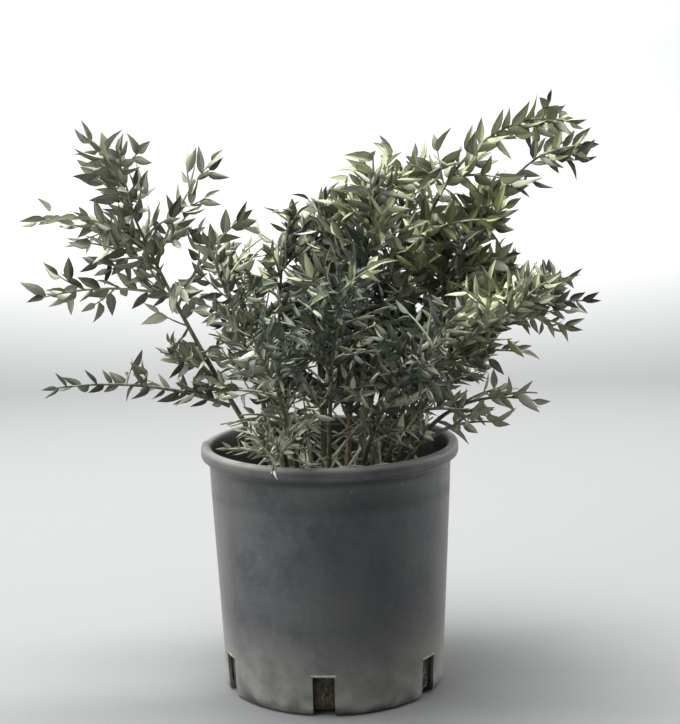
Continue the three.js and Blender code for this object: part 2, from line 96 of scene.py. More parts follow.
# Clearances. seat, twig, pot and sample are the model's; leaf, further and dry are for leaves, further
# sprays and dry shoots.
GAP = dict(seat=0.3, twig=3, pot=2, sample=4, leaf=0.6, further=0.8, dry=1.0)

# How far a side branch's root reaches back along the stem that it leaves, as in the model.
SIDE_CORNER = 0.5

# Life-size leaves. A twig's last leaf begins before the twig's tip by the share tip_root of a leaf's
# length, and the twig's skin ends inside it.
LEAF = dict(
    length=12.6, length_varies=5, first_at=3.6, first_varies=2, step=4.7, step_varies=1.6, spread=58,
    spread_at_tip=34, spread_varies=30, lift=18, lift_varies=60, twist=130, half_width=0.17,
    thickness=0.022, narrowest=0.72, broadest=1.18, tip_root=0.85, twig_end=0.8,
)

# Leaves' tones are drawn from this beta distribution, so that the darkest and the palest are common.
TONES = (0.9, 0.7)

# Leaves on the open arms are longer, further apart and broader by these factors, and their twigs'
# planes stand upright rather than level.
OPEN = dict(
    length=1.36, step=1.32, breadth=1.14, lift_varies=110, least_roll=0.25 * math.pi,
    most_roll=0.75 * math.pi,
)

# Above the first height the clump's leaves begin to grow as large as the arms', up to that share.
CROWN_TOP = dict(start=250, full=320, share=0.7)

# Over the pot's mouth the clump's shoots are bare below this height, which falls to the right.
BARE_MOUTH = dict(height=184, fall=0.2, radius=100)

# Where the sky shows between the leaves from the front: ellipses as (x, z, half width, half height) on
# the upright plane through the pot's axis, chosen from measurements of the photograph.
SKY = [
    (-117, 222, 8, 15), (-104, 282, 8, 14), (-102, 246, 6, 10), (-82, 236, 9, 9), (-46, 292, 6, 15),
    (-35, 305, 6, 7), (-56, 301, 4, 8), (-56, 276, 4, 7), (-71, 268, 5, 5), (101, 192, 9, 10),
    (144, 196, 7, 6), (78, 180, 10, 7), (105, 171, 8, 5), (119, 219, 9, 6), (128, 234, 9, 4),
    (131, 355, 8, 10), (147, 341, 8, 4), (53, 354, 5, 9), (36, 351, 4, 9), (72, 358, 4, 7),
    (-51, 233, 7, 6), (-8, 213, 8, 8), (-22, 191, 11, 7), (2, 185, 9, 6), (33, 193, 6, 6),
    (-57, 202, 8, 8), (76, 224, 5, 5), (-27, 281, 6, 6), (-35, 263, 6, 6), (39, 258, 4, 4),
]

# Places on the same plane, as (x, z, width, height): the clump's dark core, and where growth is young.
CORE = (10, 246, 74, 54)
YOUNG_GROWTH = (82, 302, 56, 42)

# How near to the core, from 0 to 1, twigs take the darker green finish and leaves the darker blue
# colour, as painted shade.
CORE_EDGE = dict(twigs=0.4, leaves=0.3)

# Painted light and shade: where sprays are dealt paler colours (above 0), as painted light,
# or darker ones (below 0), as painted shade, than the rule has them, and by how much: the crown's top,
# the low right, the low middle, and the arch.
PAINTED_LIGHT_AND_SHADE_SPOTS = [
    ((5, 338, 60, 32), 0.3), ((95, 195, 38, 36), 0.35), ((-10, 195, 60, 26), 0.2),
    ((140, 362, 44, 40), -0.4),
]

# How twigs are dealt their leaves' colours. stray are deep wherever they grow, and at most the share
# young is young. The others go by a chance that rises with height, partly as painted light on the top,
# and falls towards the core as painted shade: below deep, blue and green in turn it gives that colour,
# and above them olive high on the right, up to its own limit, and sage.
DEAL = dict(
    stray=0.1, young=0.4, height=0.5, core=0.5, deep=0.12, blue=0.32, green=0.52, olive=0.95,
)

# Twigs of the next order, on every spray and axis. longest is a share of what is left of their twig.
FINE = dict(
    first=7, every=12, place_varies=8, up_to=0.8, length=33, length_varies=14, shortest=17, longest=0.8,
    radius=0.7, tip_radius=0.4, turn_varies=70, lean=44, lean_varies=20, lift=0.25,
)

# Bare shoots that stand and lean in the pot's mouth.
DRY = dict(
    count=46, foot_radius=66, reach=79, length=72, length_varies=44, rise=24, rise_varies=50,
    lift=0.35, radius=1.2, tip_radius=0.55, thinnest=0.8, thickness_varies=0.4,
)

# Joints along limbs, as (how far apart they are, the share by which the limb swells), and how far from
# a joint the swelling reaches.
JOINTS = dict(stem=(24, 0.13), twig=(LEAF["step"] * 2, 0.1), dry=(13, 0.25))
JOINT_REACH = 1.4

# Grooves along limbs, as (how many ridges, how deep the grooves are as a share of the radius).
GROOVES = dict(
    stem=(9, 0.1), old=(9, 0.12), dry=(6, 0.12), axis=(7, 0.12), twig=(5, 0.14), root=(5, 0.05),
)

# Fixed seeds of everything that is drawn at random. A stem's and a side branch's are the model's.
SEEDS = dict(
    fine_twigs=500, dry_shoots=700, leaves=900, leaf_looks=41, roots=12, crumb_form=5, crumb_places=7,
    crumb_tones=3, crumb_turns=4, crumb_sizes=5,
)

# What a limb has where its row doesn't say otherwise.
USUAL = dict(
    sprays=[], extra=[], side=[], fill=0, reach=0, turn=0, up_to=0.9, more=0, bushy=1.0, small=1.0,
)


def limb(name, **given):
    """A row for a stem or a side branch."""
    return {**USUAL, "name": name, **given}


# foot, aim and tip: the three points of a stem's curve, up to the tip of its top leaf. neck: the share
# that is bare. sprays: the model's sprays, as (share, heading, rise, length). fill, reach and turn: how
# many more the rule adds, how long the lowest is and which way it heads. up_to: the share of the limb
# up to which they grow. extra and more: sprays that only this finish has, in the same two ways. bushy:
# the share of its twigs that carry finer ones. small: the size of its leaves, as a share of the usual.
# side: branches on the bare part, each of which leaves it at a share of the stem.
STEMS = [
    limb(
        "left", foot=(-36, 10), aim=(-110, -8, 262), tip=(-142, -26, 368), neck=0.36,
        sprays=[
            (0.53, 180, -1, 96), (0.5, 22, 50, 82), (0.6, 224, 18, 66), (0.62, 24, 58, 90),
            (0.72, 176, 5, 80), (0.66, 130, 22, 56), (0.84, 250, 40, 44), (0.8, 205, 40, 42),
            (0.87, 330, 40, 34), (0.9, 190, 44, 34), (0.76, 196, 44, 46), (0.66, 205, 26, 54),
        ],
        extra=[(0.68, 192, 14, 58), (0.64, 170, -8, 50), (0.63, 10, 50, 50), (0.7, 350, 30, 34)],
        fill=2, reach=50, turn=290, more=3, bushy=0.5,
        side=[
            limb(
                "left_low", at=0.2, heading=189, rise=7, length=126, neck=0.1, up_to=0.62,
                reach=34, turn=40, more=6, bushy=0.12, small=0.84,
            ),
            limb(
                "left_front", at=0.27, heading=212, rise=25, length=54, neck=0.2, up_to=0.7,
                reach=36, turn=90, more=8, bushy=0.95, small=0.9,
            ),
        ],
    ),
    limb(
        "left_inner", foot=(-31, -14), aim=(-46, -24, 216), tip=(-76, -42, 302), neck=0.24,
        fill=10, reach=52, turn=30, more=10,
    ),
    limb(
        "centre_left", foot=(-22, 2), aim=(-44, 2, 252), tip=(-20, -6, 322), neck=0.18,
        sprays=[(0.66, 165, 14, 46)], fill=8, reach=52, turn=290, more=11,
    ),
    limb(
        "front_left", foot=(-20, -26), aim=(-28, -62, 214), tip=(-42, -130, 240), neck=0.2,
        fill=9, reach=54, turn=90, more=7,
    ),
    limb(
        "front", foot=(-1, -32), aim=(2, -62, 240), tip=(10, -132, 276), neck=0.14,
        fill=10, reach=62, turn=200, more=11,
    ),
    limb(
        "front_right", foot=(18, -28), aim=(34, -62, 214), tip=(72, -124, 242), neck=0.16,
        fill=9, reach=60, turn=120, more=10,
    ),
    limb(
        "front_low", foot=(-27, -38), aim=(-28, -72, 194), tip=(-32, -118, 158), neck=0.4,
        sprays=[(0.62, 150, 16, 40), (0.76, 205, 10, 42)], reach=40, turn=120, more=6, small=0.62,
    ),
    limb(
        "centre", foot=(-4, 4), aim=(-8, -2, 270), tip=(14, 12, 330), neck=0.18,
        fill=9, reach=60, turn=60, up_to=0.88, more=18,
    ),
    limb(
        "centre_right", foot=(11, -9), aim=(20, -22, 276), tip=(36, -42, 348), neck=0.17,
        fill=10, reach=62, turn=250, up_to=0.88, more=19,
    ),
    limb(
        "top_right", foot=(18, 12), aim=(40, 26, 288), tip=(64, 34, 362), neck=0.2,
        fill=9, reach=62, turn=20, up_to=0.88, more=25,
    ),
    limb(
        "right_high", foot=(28, -4), aim=(56, -4, 399), tip=(166, -4, 374), neck=0.26,
        sprays=[
            (0.33, 200, 12, 56), (0.4, 330, 8, 58), (0.46, 110, 16, 58), (0.52, 235, 14, 54),
            (0.55, 335, -6, 46), (0.6, 215, -20, 40), (0.84, 50, -12, 38), (0.88, 320, -14, 36),
        ],
        bushy=0.12,
    ),
    limb(
        "right", foot=(37, 8), aim=(104, 6, 368), tip=(172, 4, 358), neck=0.21,
        sprays=[(0.8, 345, 8, 38), (0.36, 335, 16, 50), (0.42, 60, 20, 50), (0.5, 290, 4, 46)],
        fill=9, reach=58, turn=80, up_to=0.52, more=24, bushy=0.85,
    ),
    limb(
        "right_middle", foot=(41, -8), aim=(88, -10, 266), tip=(180, -12, 255), neck=0.21,
        sprays=[
            (0.66, 345, -14, 46), (0.7, 30, 26, 44), (0.44, 75, 38, 52), (0.52, 285, 32, 48),
            (0.42, 340, 0, 52),
        ],
        fill=8, reach=58, turn=150, up_to=0.84, more=17,
    ),
    limb(
        "right_front", foot=(32, -22), aim=(62, -58, 240), tip=(132, -106, 262), neck=0.17,
        fill=9, reach=58, turn=310, up_to=0.88, more=12,
    ),
    limb(
        "right_back", foot=(31, 24), aim=(80, 42, 276), tip=(160, 60, 272), neck=0.2,
        fill=8, reach=56, turn=40, up_to=0.8, more=12,
    ),
    limb(
        "right_low", foot=(48, 2), aim=(76, 0, 208), tip=(150, -6, 186), neck=0.3,
        sprays=[(0.5, 20, 16, 42), (0.6, 40, 10, 40), (0.72, 335, 4, 40)], bushy=0.2,
    ),
    limb(
        "right_low_front", foot=(42, -24), aim=(66, -40, 190), tip=(114, -52, 180), neck=0.36,
        sprays=[(0.62, 300, 20, 38)], bushy=0.3,
    ),
    limb(
        "back_left", foot=(-28, 28), aim=(-44, 62, 254), tip=(-80, 114, 298), neck=0.18,
        fill=9, reach=62, turn=144, more=10,
    ),
    limb(
        "back", foot=(-4, 38), aim=(-2, 76, 262), tip=(-6, 146, 292), neck=0.18,
        fill=9, reach=62, turn=0, more=10,
    ),
    limb(
        "back_right", foot=(20, 38), aim=(46, 78, 268), tip=(90, 124, 306), neck=0.18,
        fill=9, reach=62, turn=220, more=10,
    ),
    limb(
        "back_high", foot=(-2, 20), aim=(-10, 34, 280), tip=(-18, 58, 316), neck=0.21,
        fill=7, reach=58, turn=100, more=11,
    ),
]

# The stem whose bare foot has turned woody and brown.
OLD_STEM = "centre_right"


def srgb(red, green, blue):
    """A colour given as 0 to 255 on a screen, as the shader's own linear numbers."""
    def linear(value):
        value /= 255
        return value / 12.92 if value <= 0.04045 else ((value + 0.055) / 1.055) ** 2.4

    return (linear(red), linear(green), linear(blue), 1.0)


def put(name, data):
    """A new object in the scene."""
    item = bpy.data.objects.new(name, data)
    bpy.context.scene.collection.objects.link(item)
    return item


# Camera, light and floor


def make_camera():
    """Level with the crown's middle, looking a little down, with the picture turned by a degree."""
    data = bpy.data.cameras.new("view")
    data.sensor_width = CAMERA["sensor"]
    data.lens = CAMERA["lens"]
    camera = put("view", data)
    tilt = Matrix.Rotation(math.radians(90 - CAMERA["down"]), 4, "X")
    roll = Matrix.Rotation(math.radians(-CAMERA["turn"]), 4, "Z")
    camera.matrix_world = Matrix.Translation(Vector(EYE) * MM) @ tilt @ roll
    bpy.context.scene.camera = camera


def area_light(name, place, aim, size, watts):
    """A rectangular light that points at a place."""
    data = bpy.data.lights.new(name, "AREA")
    data.shape = "RECTANGLE"
    data.size, data.size_y = size
    data.energy = watts
    light = put(name, data)
    light.location = place
    light.rotation_euler = (Vector(aim) - Vector(place)).to_track_quat("-Z", "Y").to_euler()


def make_lights():
    """A pale room: soft light from above, from both sides and from the front left."""
    world = bpy.data.worlds.new("pale room")
    world.use_nodes = True
    background = world.node_tree.nodes["Background"]
    background.inputs["Color"].default_value = (1, 1, 1, 1)
    background.inputs["Strength"].default_value = ROOM_LIGHT
    bpy.context.scene.world = world
    for light in LIGHTS:
        area_light(*light)


def make_floor():
    """A pale floor that curves up into a wall well behind the plant, with painted light that makes the
    wall paler as it rises.
    """
    reach, back, bend, top, steps = 5.0, 2.6, 0.9, 4.0, 16
    line = [(-reach, 0.0), (back - bend, 0.0)]
    for i in range(1, steps + 1):
        turn = math.pi / 2 * i / steps
        line.append((back - bend + bend * math.sin(turn), bend - bend * math.cos(turn)))
    line.append((back, top))
    points = [(side * reach, y, z) for y, z in line for side in (-1, 1)]
    faces = [(2 * i, 2 * i + 1, 2 * i + 3, 2 * i + 2) for i in range(len(line) - 1)]
    mesh = bpy.data.meshes.new("floor")
    mesh.from_pydata(points, [], faces)
    mesh.shade_smooth()
    floor = put("floor", mesh)
    finish = Finish("pale floor", roughness=0.9)
    # Painted light: the colour grows paler up the wall, standing in for a more brightly lit upper wall.
    painted_light_up_the_wall = finish.spread(finish.axis(finish.place(), "Z"), 0.0, 0.3)
    finish.colour(finish.mix(painted_light_up_the_wall, srgb(110, 111, 111), srgb(160, 161, 161)))
    mesh.materials.append(finish.material)


# Finishes


class Finish:
    """One material. Each method adds a node and returns the output that the next node reads."""

    def __init__(self, name, roughness):
        self.material = bpy.data.materials.new(name)
        self.material.use_nodes = True
        self.tree = self.material.node_tree
        self.shader = self.tree.nodes["Principled BSDF"]
        self.shader.inputs["Roughness"].default_value = roughness

    def node(self, kind, inputs, output=0, **settings):
        """A node of that kind. Its inputs and its output are named or numbered as its sockets are."""
        node = self.tree.nodes.new(kind)
        for key, value in settings.items():
            setattr(node, key, value)
        for socket, value in inputs.items():
            self.feed(node.inputs[socket], value)
        return node.outputs[output]

    def feed(self, socket, value):
        """A socket takes another node's output or a plain value."""
        if isinstance(value, bpy.types.NodeSocket):
            self.tree.links.new(value, socket)
        else:
            socket.default_value = value

    def place(self, stretch=(1, 1, 1)):
        """A point's place on the object, in metres, with each axis multiplied by its stretch."""
        place = self.node("ShaderNodeTexCoord", {}, output="Object")
        return self.node("ShaderNodeMapping", {"Vector": place, "Scale": stretch})

    def attribute(self, name, output):
        return self.node("ShaderNodeAttribute", {}, output=output, attribute_name=name)

    def clouds(self, size, detail, stretch=(1, 1, 1)):
        """Soft noise from 0 to 1 whose patches are about that size, in metres."""
        inputs = {"Vector": self.place(stretch), "Scale": 1 / size, "Detail": detail}
        return self.node("ShaderNodeTexNoise", inputs)

    def spread(self, value, low, high):
        """The value from low to high, spread out from 0 to 1."""
        inputs = {"Value": value, "From Min": low, "From Max": high}
        return self.node("ShaderNodeMapRange", inputs)

    def patches(self, size, detail, low, high, stretch=(1, 1, 1)):
        """Soft noise whose part from low to high is spread out from 0 to 1."""
        return self.spread(self.clouds(size, detail, stretch), low, high)

    def reckon(self, operation, first, second=0.0):
        return self.node("ShaderNodeMath", {0: first, 1: second}, operation=operation)

    def plus(self, first, second):
        return self.reckon("ADD", first, second)

    def minus(self, first, second):
        return self.reckon("SUBTRACT", first, second)

    def times(self, first, second):
        return self.reckon("MULTIPLY", first, second)

    def axis(self, vector, axis):
        return self.node("ShaderNodeSeparateXYZ", {"Vector": vector}, output=axis)

    def mix(self, share, first, second):
        return self.node("ShaderNodeMix", {0: share, 6: first, 7: second}, output=2, data_type="RGBA")

    def coat(self, colour, share, strength, over):
        """A colour with another over it, where the share is above 0, at that strength at most."""
        return self.mix(self.times(share, strength), colour, over)

    def colour(self, value):
        self.feed(self.shader.inputs["Base Color"], value)

    def roughness(self, value):
        self.feed(self.shader.inputs["Roughness"], value)

    def relief(self, height, depth, under=None):
        """Bumps of that depth in metres, on top of those that are given."""
        inputs = {"Height": height, "Distance": depth, "Strength": 1.0}
        if under:
            inputs["Normal"] = under
        normal = self.node("ShaderNodeBump", inputs)
        self.feed(self.shader.inputs["Normal"], normal)
        return normal


def dusty_wall(finish):
    """Cloudy dark grey with a little warmth, fine grain and faint upright streaks."""
    blotches = finish.patches(0.045, 5, 0.36, 0.66)
    finish.roughness(finish.plus(finish.times(blotches, 0.16), 0.48))
    colour = finish.mix(blotches, srgb(53, 57, 61), srgb(83, 84, 85))
    warmth = finish.patches(0.09, 2, 0.42, 0.62)
    colour = finish.coat(colour, warmth, 0.34, srgb(88, 83, 77))
    grain = finish.patches(0.004, 5, 0.4, 0.72)
    colour = finish.coat(colour, grain, 0.2, srgb(102, 103, 101))
    streaks = finish.patches(0.009, 4, 0.5, 0.75, stretch=(1, 1, 0.22))
    return finish.coat(colour, streaks, 0.14, srgb(104, 106, 104))


def stained_foot(finish, colour, height):
    """Pale water stains low on the wall, a darker band along its foot, and a few pale specks."""
    stains = finish.patches(0.015, 7, 0.36, 0.62)
    low = finish.spread(height, 0.055, 0.006)
    stained = finish.times(low, finish.plus(finish.times(stains, 0.5), 0.38))
    colour = finish.mix(stained, colour, srgb(140, 140, 132))
    # A darker band along the wall's very foot.
    foot = finish.spread(finish.plus(height, finish.times(stains, 0.006)), 0.01, 0.003)
    colour = finish.coat(colour, foot, 0.85, srgb(52, 50, 44))
    specks = finish.patches(0.0022, 1, 0.76, 0.82)
    return finish.coat(colour, specks, 0.5, srgb(170, 172, 168))


def painted_shade_patch(finish, colour):
    """A broad patch of painted shade on the right of the front, darker than the wall around it."""
    ends = {0: finish.place((1, 1, 0.6)), 1: (0.03, -0.08, 0.05)}
    off_patch = finish.node("ShaderNodeVectorMath", ends, output="Value", operation="DISTANCE")
    # Painted shade: a soft dark patch on the right of the front.
    painted_shade_share = finish.spread(off_patch, 0.055, 0.01)
    return finish.coat(colour, painted_shade_share, 0.55, srgb(38, 43, 48))


def painted_rim_light_and_cove_shade(finish, colour, behind, height):
    """A painted highlight along the rim's top and painted shade in the cove below it, by height from the
    slanting rim's own level.
    """
    rise = POT["rim_slant"] / (2 * POT["rim_radius"])
    slant = finish.times(finish.plus(behind, POT["rim_radius"] * MM), rise)
    level = finish.minus(height, slant)
    # Painted highlight: the rim's top is paler, where light from above falls on it.
    painted_rim_top_highlight = finish.spread(level, (POT["height"] - 3.2) * MM, (POT["height"] - 0.6) * MM)
    colour = finish.coat(colour, painted_rim_top_highlight, 0.6, srgb(140, 139, 132))
    # Painted shade: a dark line in the cove under the rim band.
    cove = (POT["height"] - POT["rim_band"] - 2.5) * MM
    off_cove = finish.reckon("ABSOLUTE", finish.minus(level, cove))
    painted_cove_shade = finish.spread(off_cove, 0.0042, 0.0012)
    return finish.coat(colour, painted_cove_shade, 0.6, srgb(38, 39, 39))


def inside_shade_and_slant_sheen(finish, colour, across, behind, height):
    """Painted shade that makes the inside darker, and a paler outside where it is seen at a slant,
    partly dust and partly painted sheen.
    """
    square = finish.plus(finish.times(across, across), finish.times(behind, behind))
    radius = finish.reckon("SQRT", square)
    # Painted shade: the inside of the pot's mouth, above the soil, is darkened.
    inside = finish.times(finish.spread(radius, 0.0813, 0.0805), finish.spread(height, 0.128, 0.134))
    # Paler where the wall is seen at a slant: partly dust, partly painted sheen.
    facing = finish.node("ShaderNodeLayerWeight", {"Blend": 0.4}, output="Facing")
    dust_and_sheen = finish.times(finish.spread(facing, 0.45, 1), finish.minus(0.55, inside))
    colour = finish.mix(dust_and_sheen, colour, srgb(150, 149, 143))
    return finish.coat(colour, inside, 0.7, srgb(30, 30, 29))


def pot_finish():
    """Dark grey plastic, weathered by dust, water and soil, with painted shade, a painted highlight on
    the rim and a painted sheen.
    """
    finish = Finish("weathered plastic", roughness=0.55)
    place = finish.place()
    across, behind, height = (finish.axis(place, axis) for axis in "XYZ")
    colour = dusty_wall(finish)
    colour = stained_foot(finish, colour, height)
    colour = painted_shade_patch(finish, colour)
    colour = painted_rim_light_and_cove_shade(finish, colour, behind, height)
    finish.colour(inside_shade_and_slant_sheen(finish, colour, across, behind, height))
    pitted = finish.relief(finish.clouds(0.0012, 3), 0.00008)
    finish.relief(finish.clouds(0.02, 4, stretch=(1, 1, 0.4)), 0.0007, under=pitted)
    return finish.material


def lip_finish():
    """The drain openings' moulded lips, painted paler than the wall as a highlight where light from
    above falls on them.
    """
    finish = Finish("lip with painted highlight", roughness=0.6)
    # Painted highlight: the lips are pale all over, in blotches.
    lip_highlight_patches = finish.patches(0.004, 3, 0.3, 0.7)
    finish.colour(finish.mix(lip_highlight_patches, srgb(92, 94, 94), srgb(158, 159, 154)))
    finish.relief(finish.clouds(0.001, 2), 0.0001)
    return finish.material


def stem_finish(name, dark, light):
    """Streaks and fine relief that run up a limb."""
    finish = Finish(name, roughness=0.5)
    streaks = finish.patches(0.004, 4, 0.34, 0.66, stretch=(1, 1, 0.12))
    finish.colour(finish.mix(streaks, dark, light))
    finish.relief(finish.clouds(0.0012, 2, stretch=(1, 1, 0.1)), 0.00012)
    return finish.material


def leaf_finish(name, colour, paler):
    """Leathery green with fine veins, a pale rib, dark margins, a paler underside, and one half painted
    paler as light on the fold.
    """
    finish = Finish(name, roughness=0.6)
    finish.shader.inputs["Specular IOR Level"].default_value = 0.3
    blade = finish.attribute("blade", "Vector")
    across, along = finish.axis(blade, "X"), finish.axis(blade, "Y")
    off_rib = finish.reckon("ABSOLUTE", finish.minus(across, 0.5))
    rib = finish.spread(off_rib, 0.1, 0.0)
    margin = finish.spread(off_rib, 0.34, 0.5)
    # Painted light: one half of the blade is paler, as if its side of the fold caught the light.
    half = finish.spread(across, 0.46, 0.54)
    underside = finish.spread(along, 1.4, 1.6)
    tone = finish.times(finish.attribute("tone", "Fac"), 0.75)
    patches = finish.times(finish.patches(0.012, 2, 0.35, 0.65), 0.25)
    base = finish.mix(finish.plus(tone, patches), colour, paler)
    base = finish.coat(base, half, 0.45, paler)
    base = finish.coat(base, underside, 0.4, paler)
    base = finish.coat(base, rib, 0.22, srgb(178, 181, 158))
    finish.colour(finish.coat(base, margin, 0.7, srgb(34, 36, 30)))
    veins = finish.reckon("SINE", finish.times(across, 75.0))
    finish.relief(veins, 0.00003)
    return finish.material


def soil_finish():
    """Dark damp soil with paler fibres."""
    finish = Finish("damp potting soil", roughness=0.95)
    crumbs = finish.patches(0.004, 5, 0.35, 0.68)
    fibres = finish.patches(0.0016, 3, 0.5, 0.72, stretch=(1, 1, 0.4))
    colour = finish.mix(crumbs, srgb(26, 23, 19), srgb(60, 53, 42))
    finish.colour(finish.coat(colour, fibres, 0.5, srgb(104, 95, 66)))
    finish.relief(finish.clouds(0.003, 5), 0.0012)
    return finish.material


def crumb_finish():
    """Bark from near black to brown, one tone for each crumb."""
    finish = Finish("bark crumbs", roughness=0.9)
    tone = finish.attribute("tone", "Fac")
    finish.colour(finish.mix(tone, srgb(30, 26, 22), srgb(88, 76, 60)))
    finish.relief(finish.clouds(0.0015, 3), 0.0004)
    return finish.material


def root_finish():
    """Straw-coloured threads with darker stretches."""
    finish = Finish("dry roots", roughness=0.85)
    streaks = finish.patches(0.006, 3, 0.3, 0.7)
    finish.colour(finish.mix(streaks, srgb(64, 58, 40), srgb(142, 130, 90)))
    finish.relief(finish.clouds(0.0008, 2), 0.0002)
    return finish.material


# Meshes


def plain_mesh(name, points, faces, edges=()):
    """A mesh object from points in millimetres."""
    mesh = bpy.data.meshes.new(name)
    mesh.from_pydata(np.asarray(points, float) * MM, list(edges), list(faces))
    mesh.update()
    return put(name, mesh)


def point_attribute(mesh, name, kind, field, values):
    """One value for each point of a mesh. The field is what Blender calls a value of that kind."""
    attribute = mesh.attributes.new(name, kind, "POINT")
    attribute.data.foreach_set(field, np.asarray(values, np.float32).ravel())


def settled(name, source):
    """The source as its modifiers leave it, as a new plain mesh object. The source is removed."""
    depsgraph = bpy.context.evaluated_depsgraph_get()
    mesh = bpy.data.meshes.new_from_object(source.evaluated_get(depsgraph), depsgraph=depsgraph)
    source.modifiers.clear()
    bpy.data.objects.remove(source)
    mesh.name = name
    return put(name, mesh)


def node_tree(name, inputs):
    """An empty geometry tree with these named inputs, as (name, kind of socket)."""
    tree = bpy.data.node_groups.new(name, "GeometryNodeTree")
    tree.interface.new_socket("Geometry", in_out="INPUT", socket_type="NodeSocketGeometry")
    for label, kind in inputs:
        tree.interface.new_socket(label, in_out="INPUT", socket_type=kind)
    tree.interface.new_socket("Geometry", in_out="OUTPUT", socket_type="NodeSocketGeometry")
    return tree


def add_node(tree, kind, inputs, **settings):
    """A node of a geometry tree, whose inputs are other nodes' outputs or plain values."""
    node = tree.nodes.new(kind)
    for key, value in settings.items():
        setattr(node, key, value)
    for socket, value in inputs.items():
        if isinstance(value, bpy.types.NodeSocket):
            tree.links.new(value, node.inputs[socket])
        else:
            node.inputs[socket].default_value = value
    return node


def named(tree, name, kind):
    """The values of a point attribute."""
    node = add_node(tree, "GeometryNodeInputNamedAttribute", {"Name": name}, data_type=kind)
    return node.outputs["Attribute"]


def finish_tree(tree, geometry, material):
    """The end of every tree: instances become real, and the finish is set."""
    real = add_node(tree, "GeometryNodeRealizeInstances", {"Geometry": geometry})
    dressed = add_node(
        tree, "GeometryNodeSetMaterial", {"Geometry": real.outputs["Geometry"], "Material": material},
    )
    add_node(tree, "NodeGroupOutput", {"Geometry": dressed.outputs["Geometry"]})


def run_tree(name, source, tree, values):
    """What the tree makes of the source, as a plain mesh object."""
    modifier = source.modifiers.new("growth", "NODES")
    modifier.node_group = tree
    for item in tree.interface.items_tree:
        if item.in_out == "INPUT" and item.name in values:
            modifier[item.identifier] = values[item.name]
    return settled(name, source)


# The rule of growth, as in the model's source


class Draws:
    """Seeded random numbers from 0 to 1."""

    def __init__(self, seed):
        self.state = (seed * 2654435761) & 0xFFFFFFFF

    def __call__(self):
        self.state = (self.state * 1664525 + 1013904223) & 0xFFFFFFFF
        return self.state / 4294967296

    def vary(self, width):
        return (self() - 0.5) * width


class Path:
    """A curve that leaves one point for a second and ends at a third."""

    def __init__(self, start, aim, end):
        self.corners = [np.asarray(p, float) for p in (start, aim, end)]
        places = self.at(np.linspace(0, 1, 201))
        self.length = float(np.linalg.norm(np.diff(places, axis=0), axis=1).sum())

    def at(self, share):
        share = np.asarray(share, float)[..., None]
        start, aim, end = self.corners
        return (1 - share) ** 2 * start + 2 * (1 - share) * share * aim + share ** 2 * end

    def heading(self, share):
        start, aim, end = self.corners
        return unit((1 - share) * (aim - start) + share * (end - aim))


def unit(vector):
    return vector / np.linalg.norm(vector)


def lerp(start, end, share):
    return start + (end - start) * share


def direction(heading, rise):
    """A unit vector with that heading in plan and that rise above the level, in degrees."""
    turn, lift = math.radians(heading), math.radians(rise)
    return np.array([
        math.cos(turn) * math.cos(lift), math.sin(turn) * math.cos(lift), math.sin(lift),
    ])


def square_to(along, vector):
    """The part of a direction that is square to another, as a unit vector."""
    return unit(vector - along * (vector @ along))


def turned(vector, axis, angle):
    """A vector turned about a unit axis."""
    cos, sin = math.cos(angle), math.sin(angle)
    return vector * cos + np.cross(axis, vector) * sin + axis * (axis @ vector) * (1 - cos)


def wall_radius(height):
    """The pot's outer radius at a height."""
    share = (height - POT["corner_rise"]) / (POT["height"] - POT["corner_rise"])
    return lerp(POT["wall_low"], POT["wall_high"], share)


def rim_lift(behind):
    """How far the slanting rim stands above its front, at a distance behind the pot's axis."""
    return POT["rim_slant"] * (behind + POT["rim_radius"]) / (2 * POT["rim_radius"])


def clear_of_pot(place, gap=GAP["pot"]):
    """Whether a place is above or outside the pot, or inside it over the soil."""
    radius = math.hypot(place[0], place[1])
    if place[2] > POT["height"] + rim_lift(place[1]) + gap or radius > POT["rim_radius"] + gap:
        return True
    return radius < wall_radius(place[2]) - POT["wall"] - gap and place[2] > SOIL["top"] + gap


class Growth:
    """Everything that has grown so far, as short straight runs, each with its radius and owner."""

    def __init__(self):
        self.runs = []

    def remember(self, points, radii, owner):
        """Straight runs from point to point, each as thick as it starts."""
        for start, end, radius in zip(points, points[1:], radii):
            self.runs.append((start, end, radius, owner))

    def surface_distance(self, places, owner):
        """From each place to the nearest surface that isn't the owner's."""
        others = [run for run in self.runs if run[3] != owner]
        start = np.array([run[0] for run in others])
        step = np.array([run[1] for run in others]) - start
        radius = np.array([run[2] for run in others])
        offset = places[:, None] - start
        share = np.clip((offset * step).sum(-1) / (step * step).sum(-1), 0, 1)
        distance = np.linalg.norm(offset - share[..., None] * step, axis=-1)
        return (distance - radius).min(axis=1)

    def clear_share(self, path, owner, radius, gap):
        """The share of a path, from its start, that stays clear of others' growth and of the pot."""
        count = math.ceil(path.length / GAP["sample"])
        places = path.at(np.arange(1, count + 1) / count)
        near = self.surface_distance(places, owner) < radius + gap
        for i, place in enumerate(places):
            if near[i] or not clear_of_pot(place):
                return max(0.0, i / count - gap / path.length)
        return 1.0


def stem_path(stem):
    """A stem's curve, from just above the soil to the tip of its top leaf."""
    return Path((*stem["foot"], SOIL["top"] + GAP["seat"]), stem["aim"], stem["tip"])


def spray_path(start, heading, rise, length):
    """A spray leaves steeply and levels out towards its tip."""
    aim = start + direction(heading, rise + SPRAY["arch"]) * length / 2
    return Path(start, aim, start + direction(heading, rise) * length)


def bare_radius(share, length):
    """A stem's radius at a share of its bare length: the flare at the foot, then the taper."""
    flare = max(0.0, 1 - share * length / STEM["flare_height"])
    taper = lerp(STEM["radius"], STEM["neck_radius"], share)
    return taper + (STEM["foot_radius"] - STEM["radius"]) * flare * flare


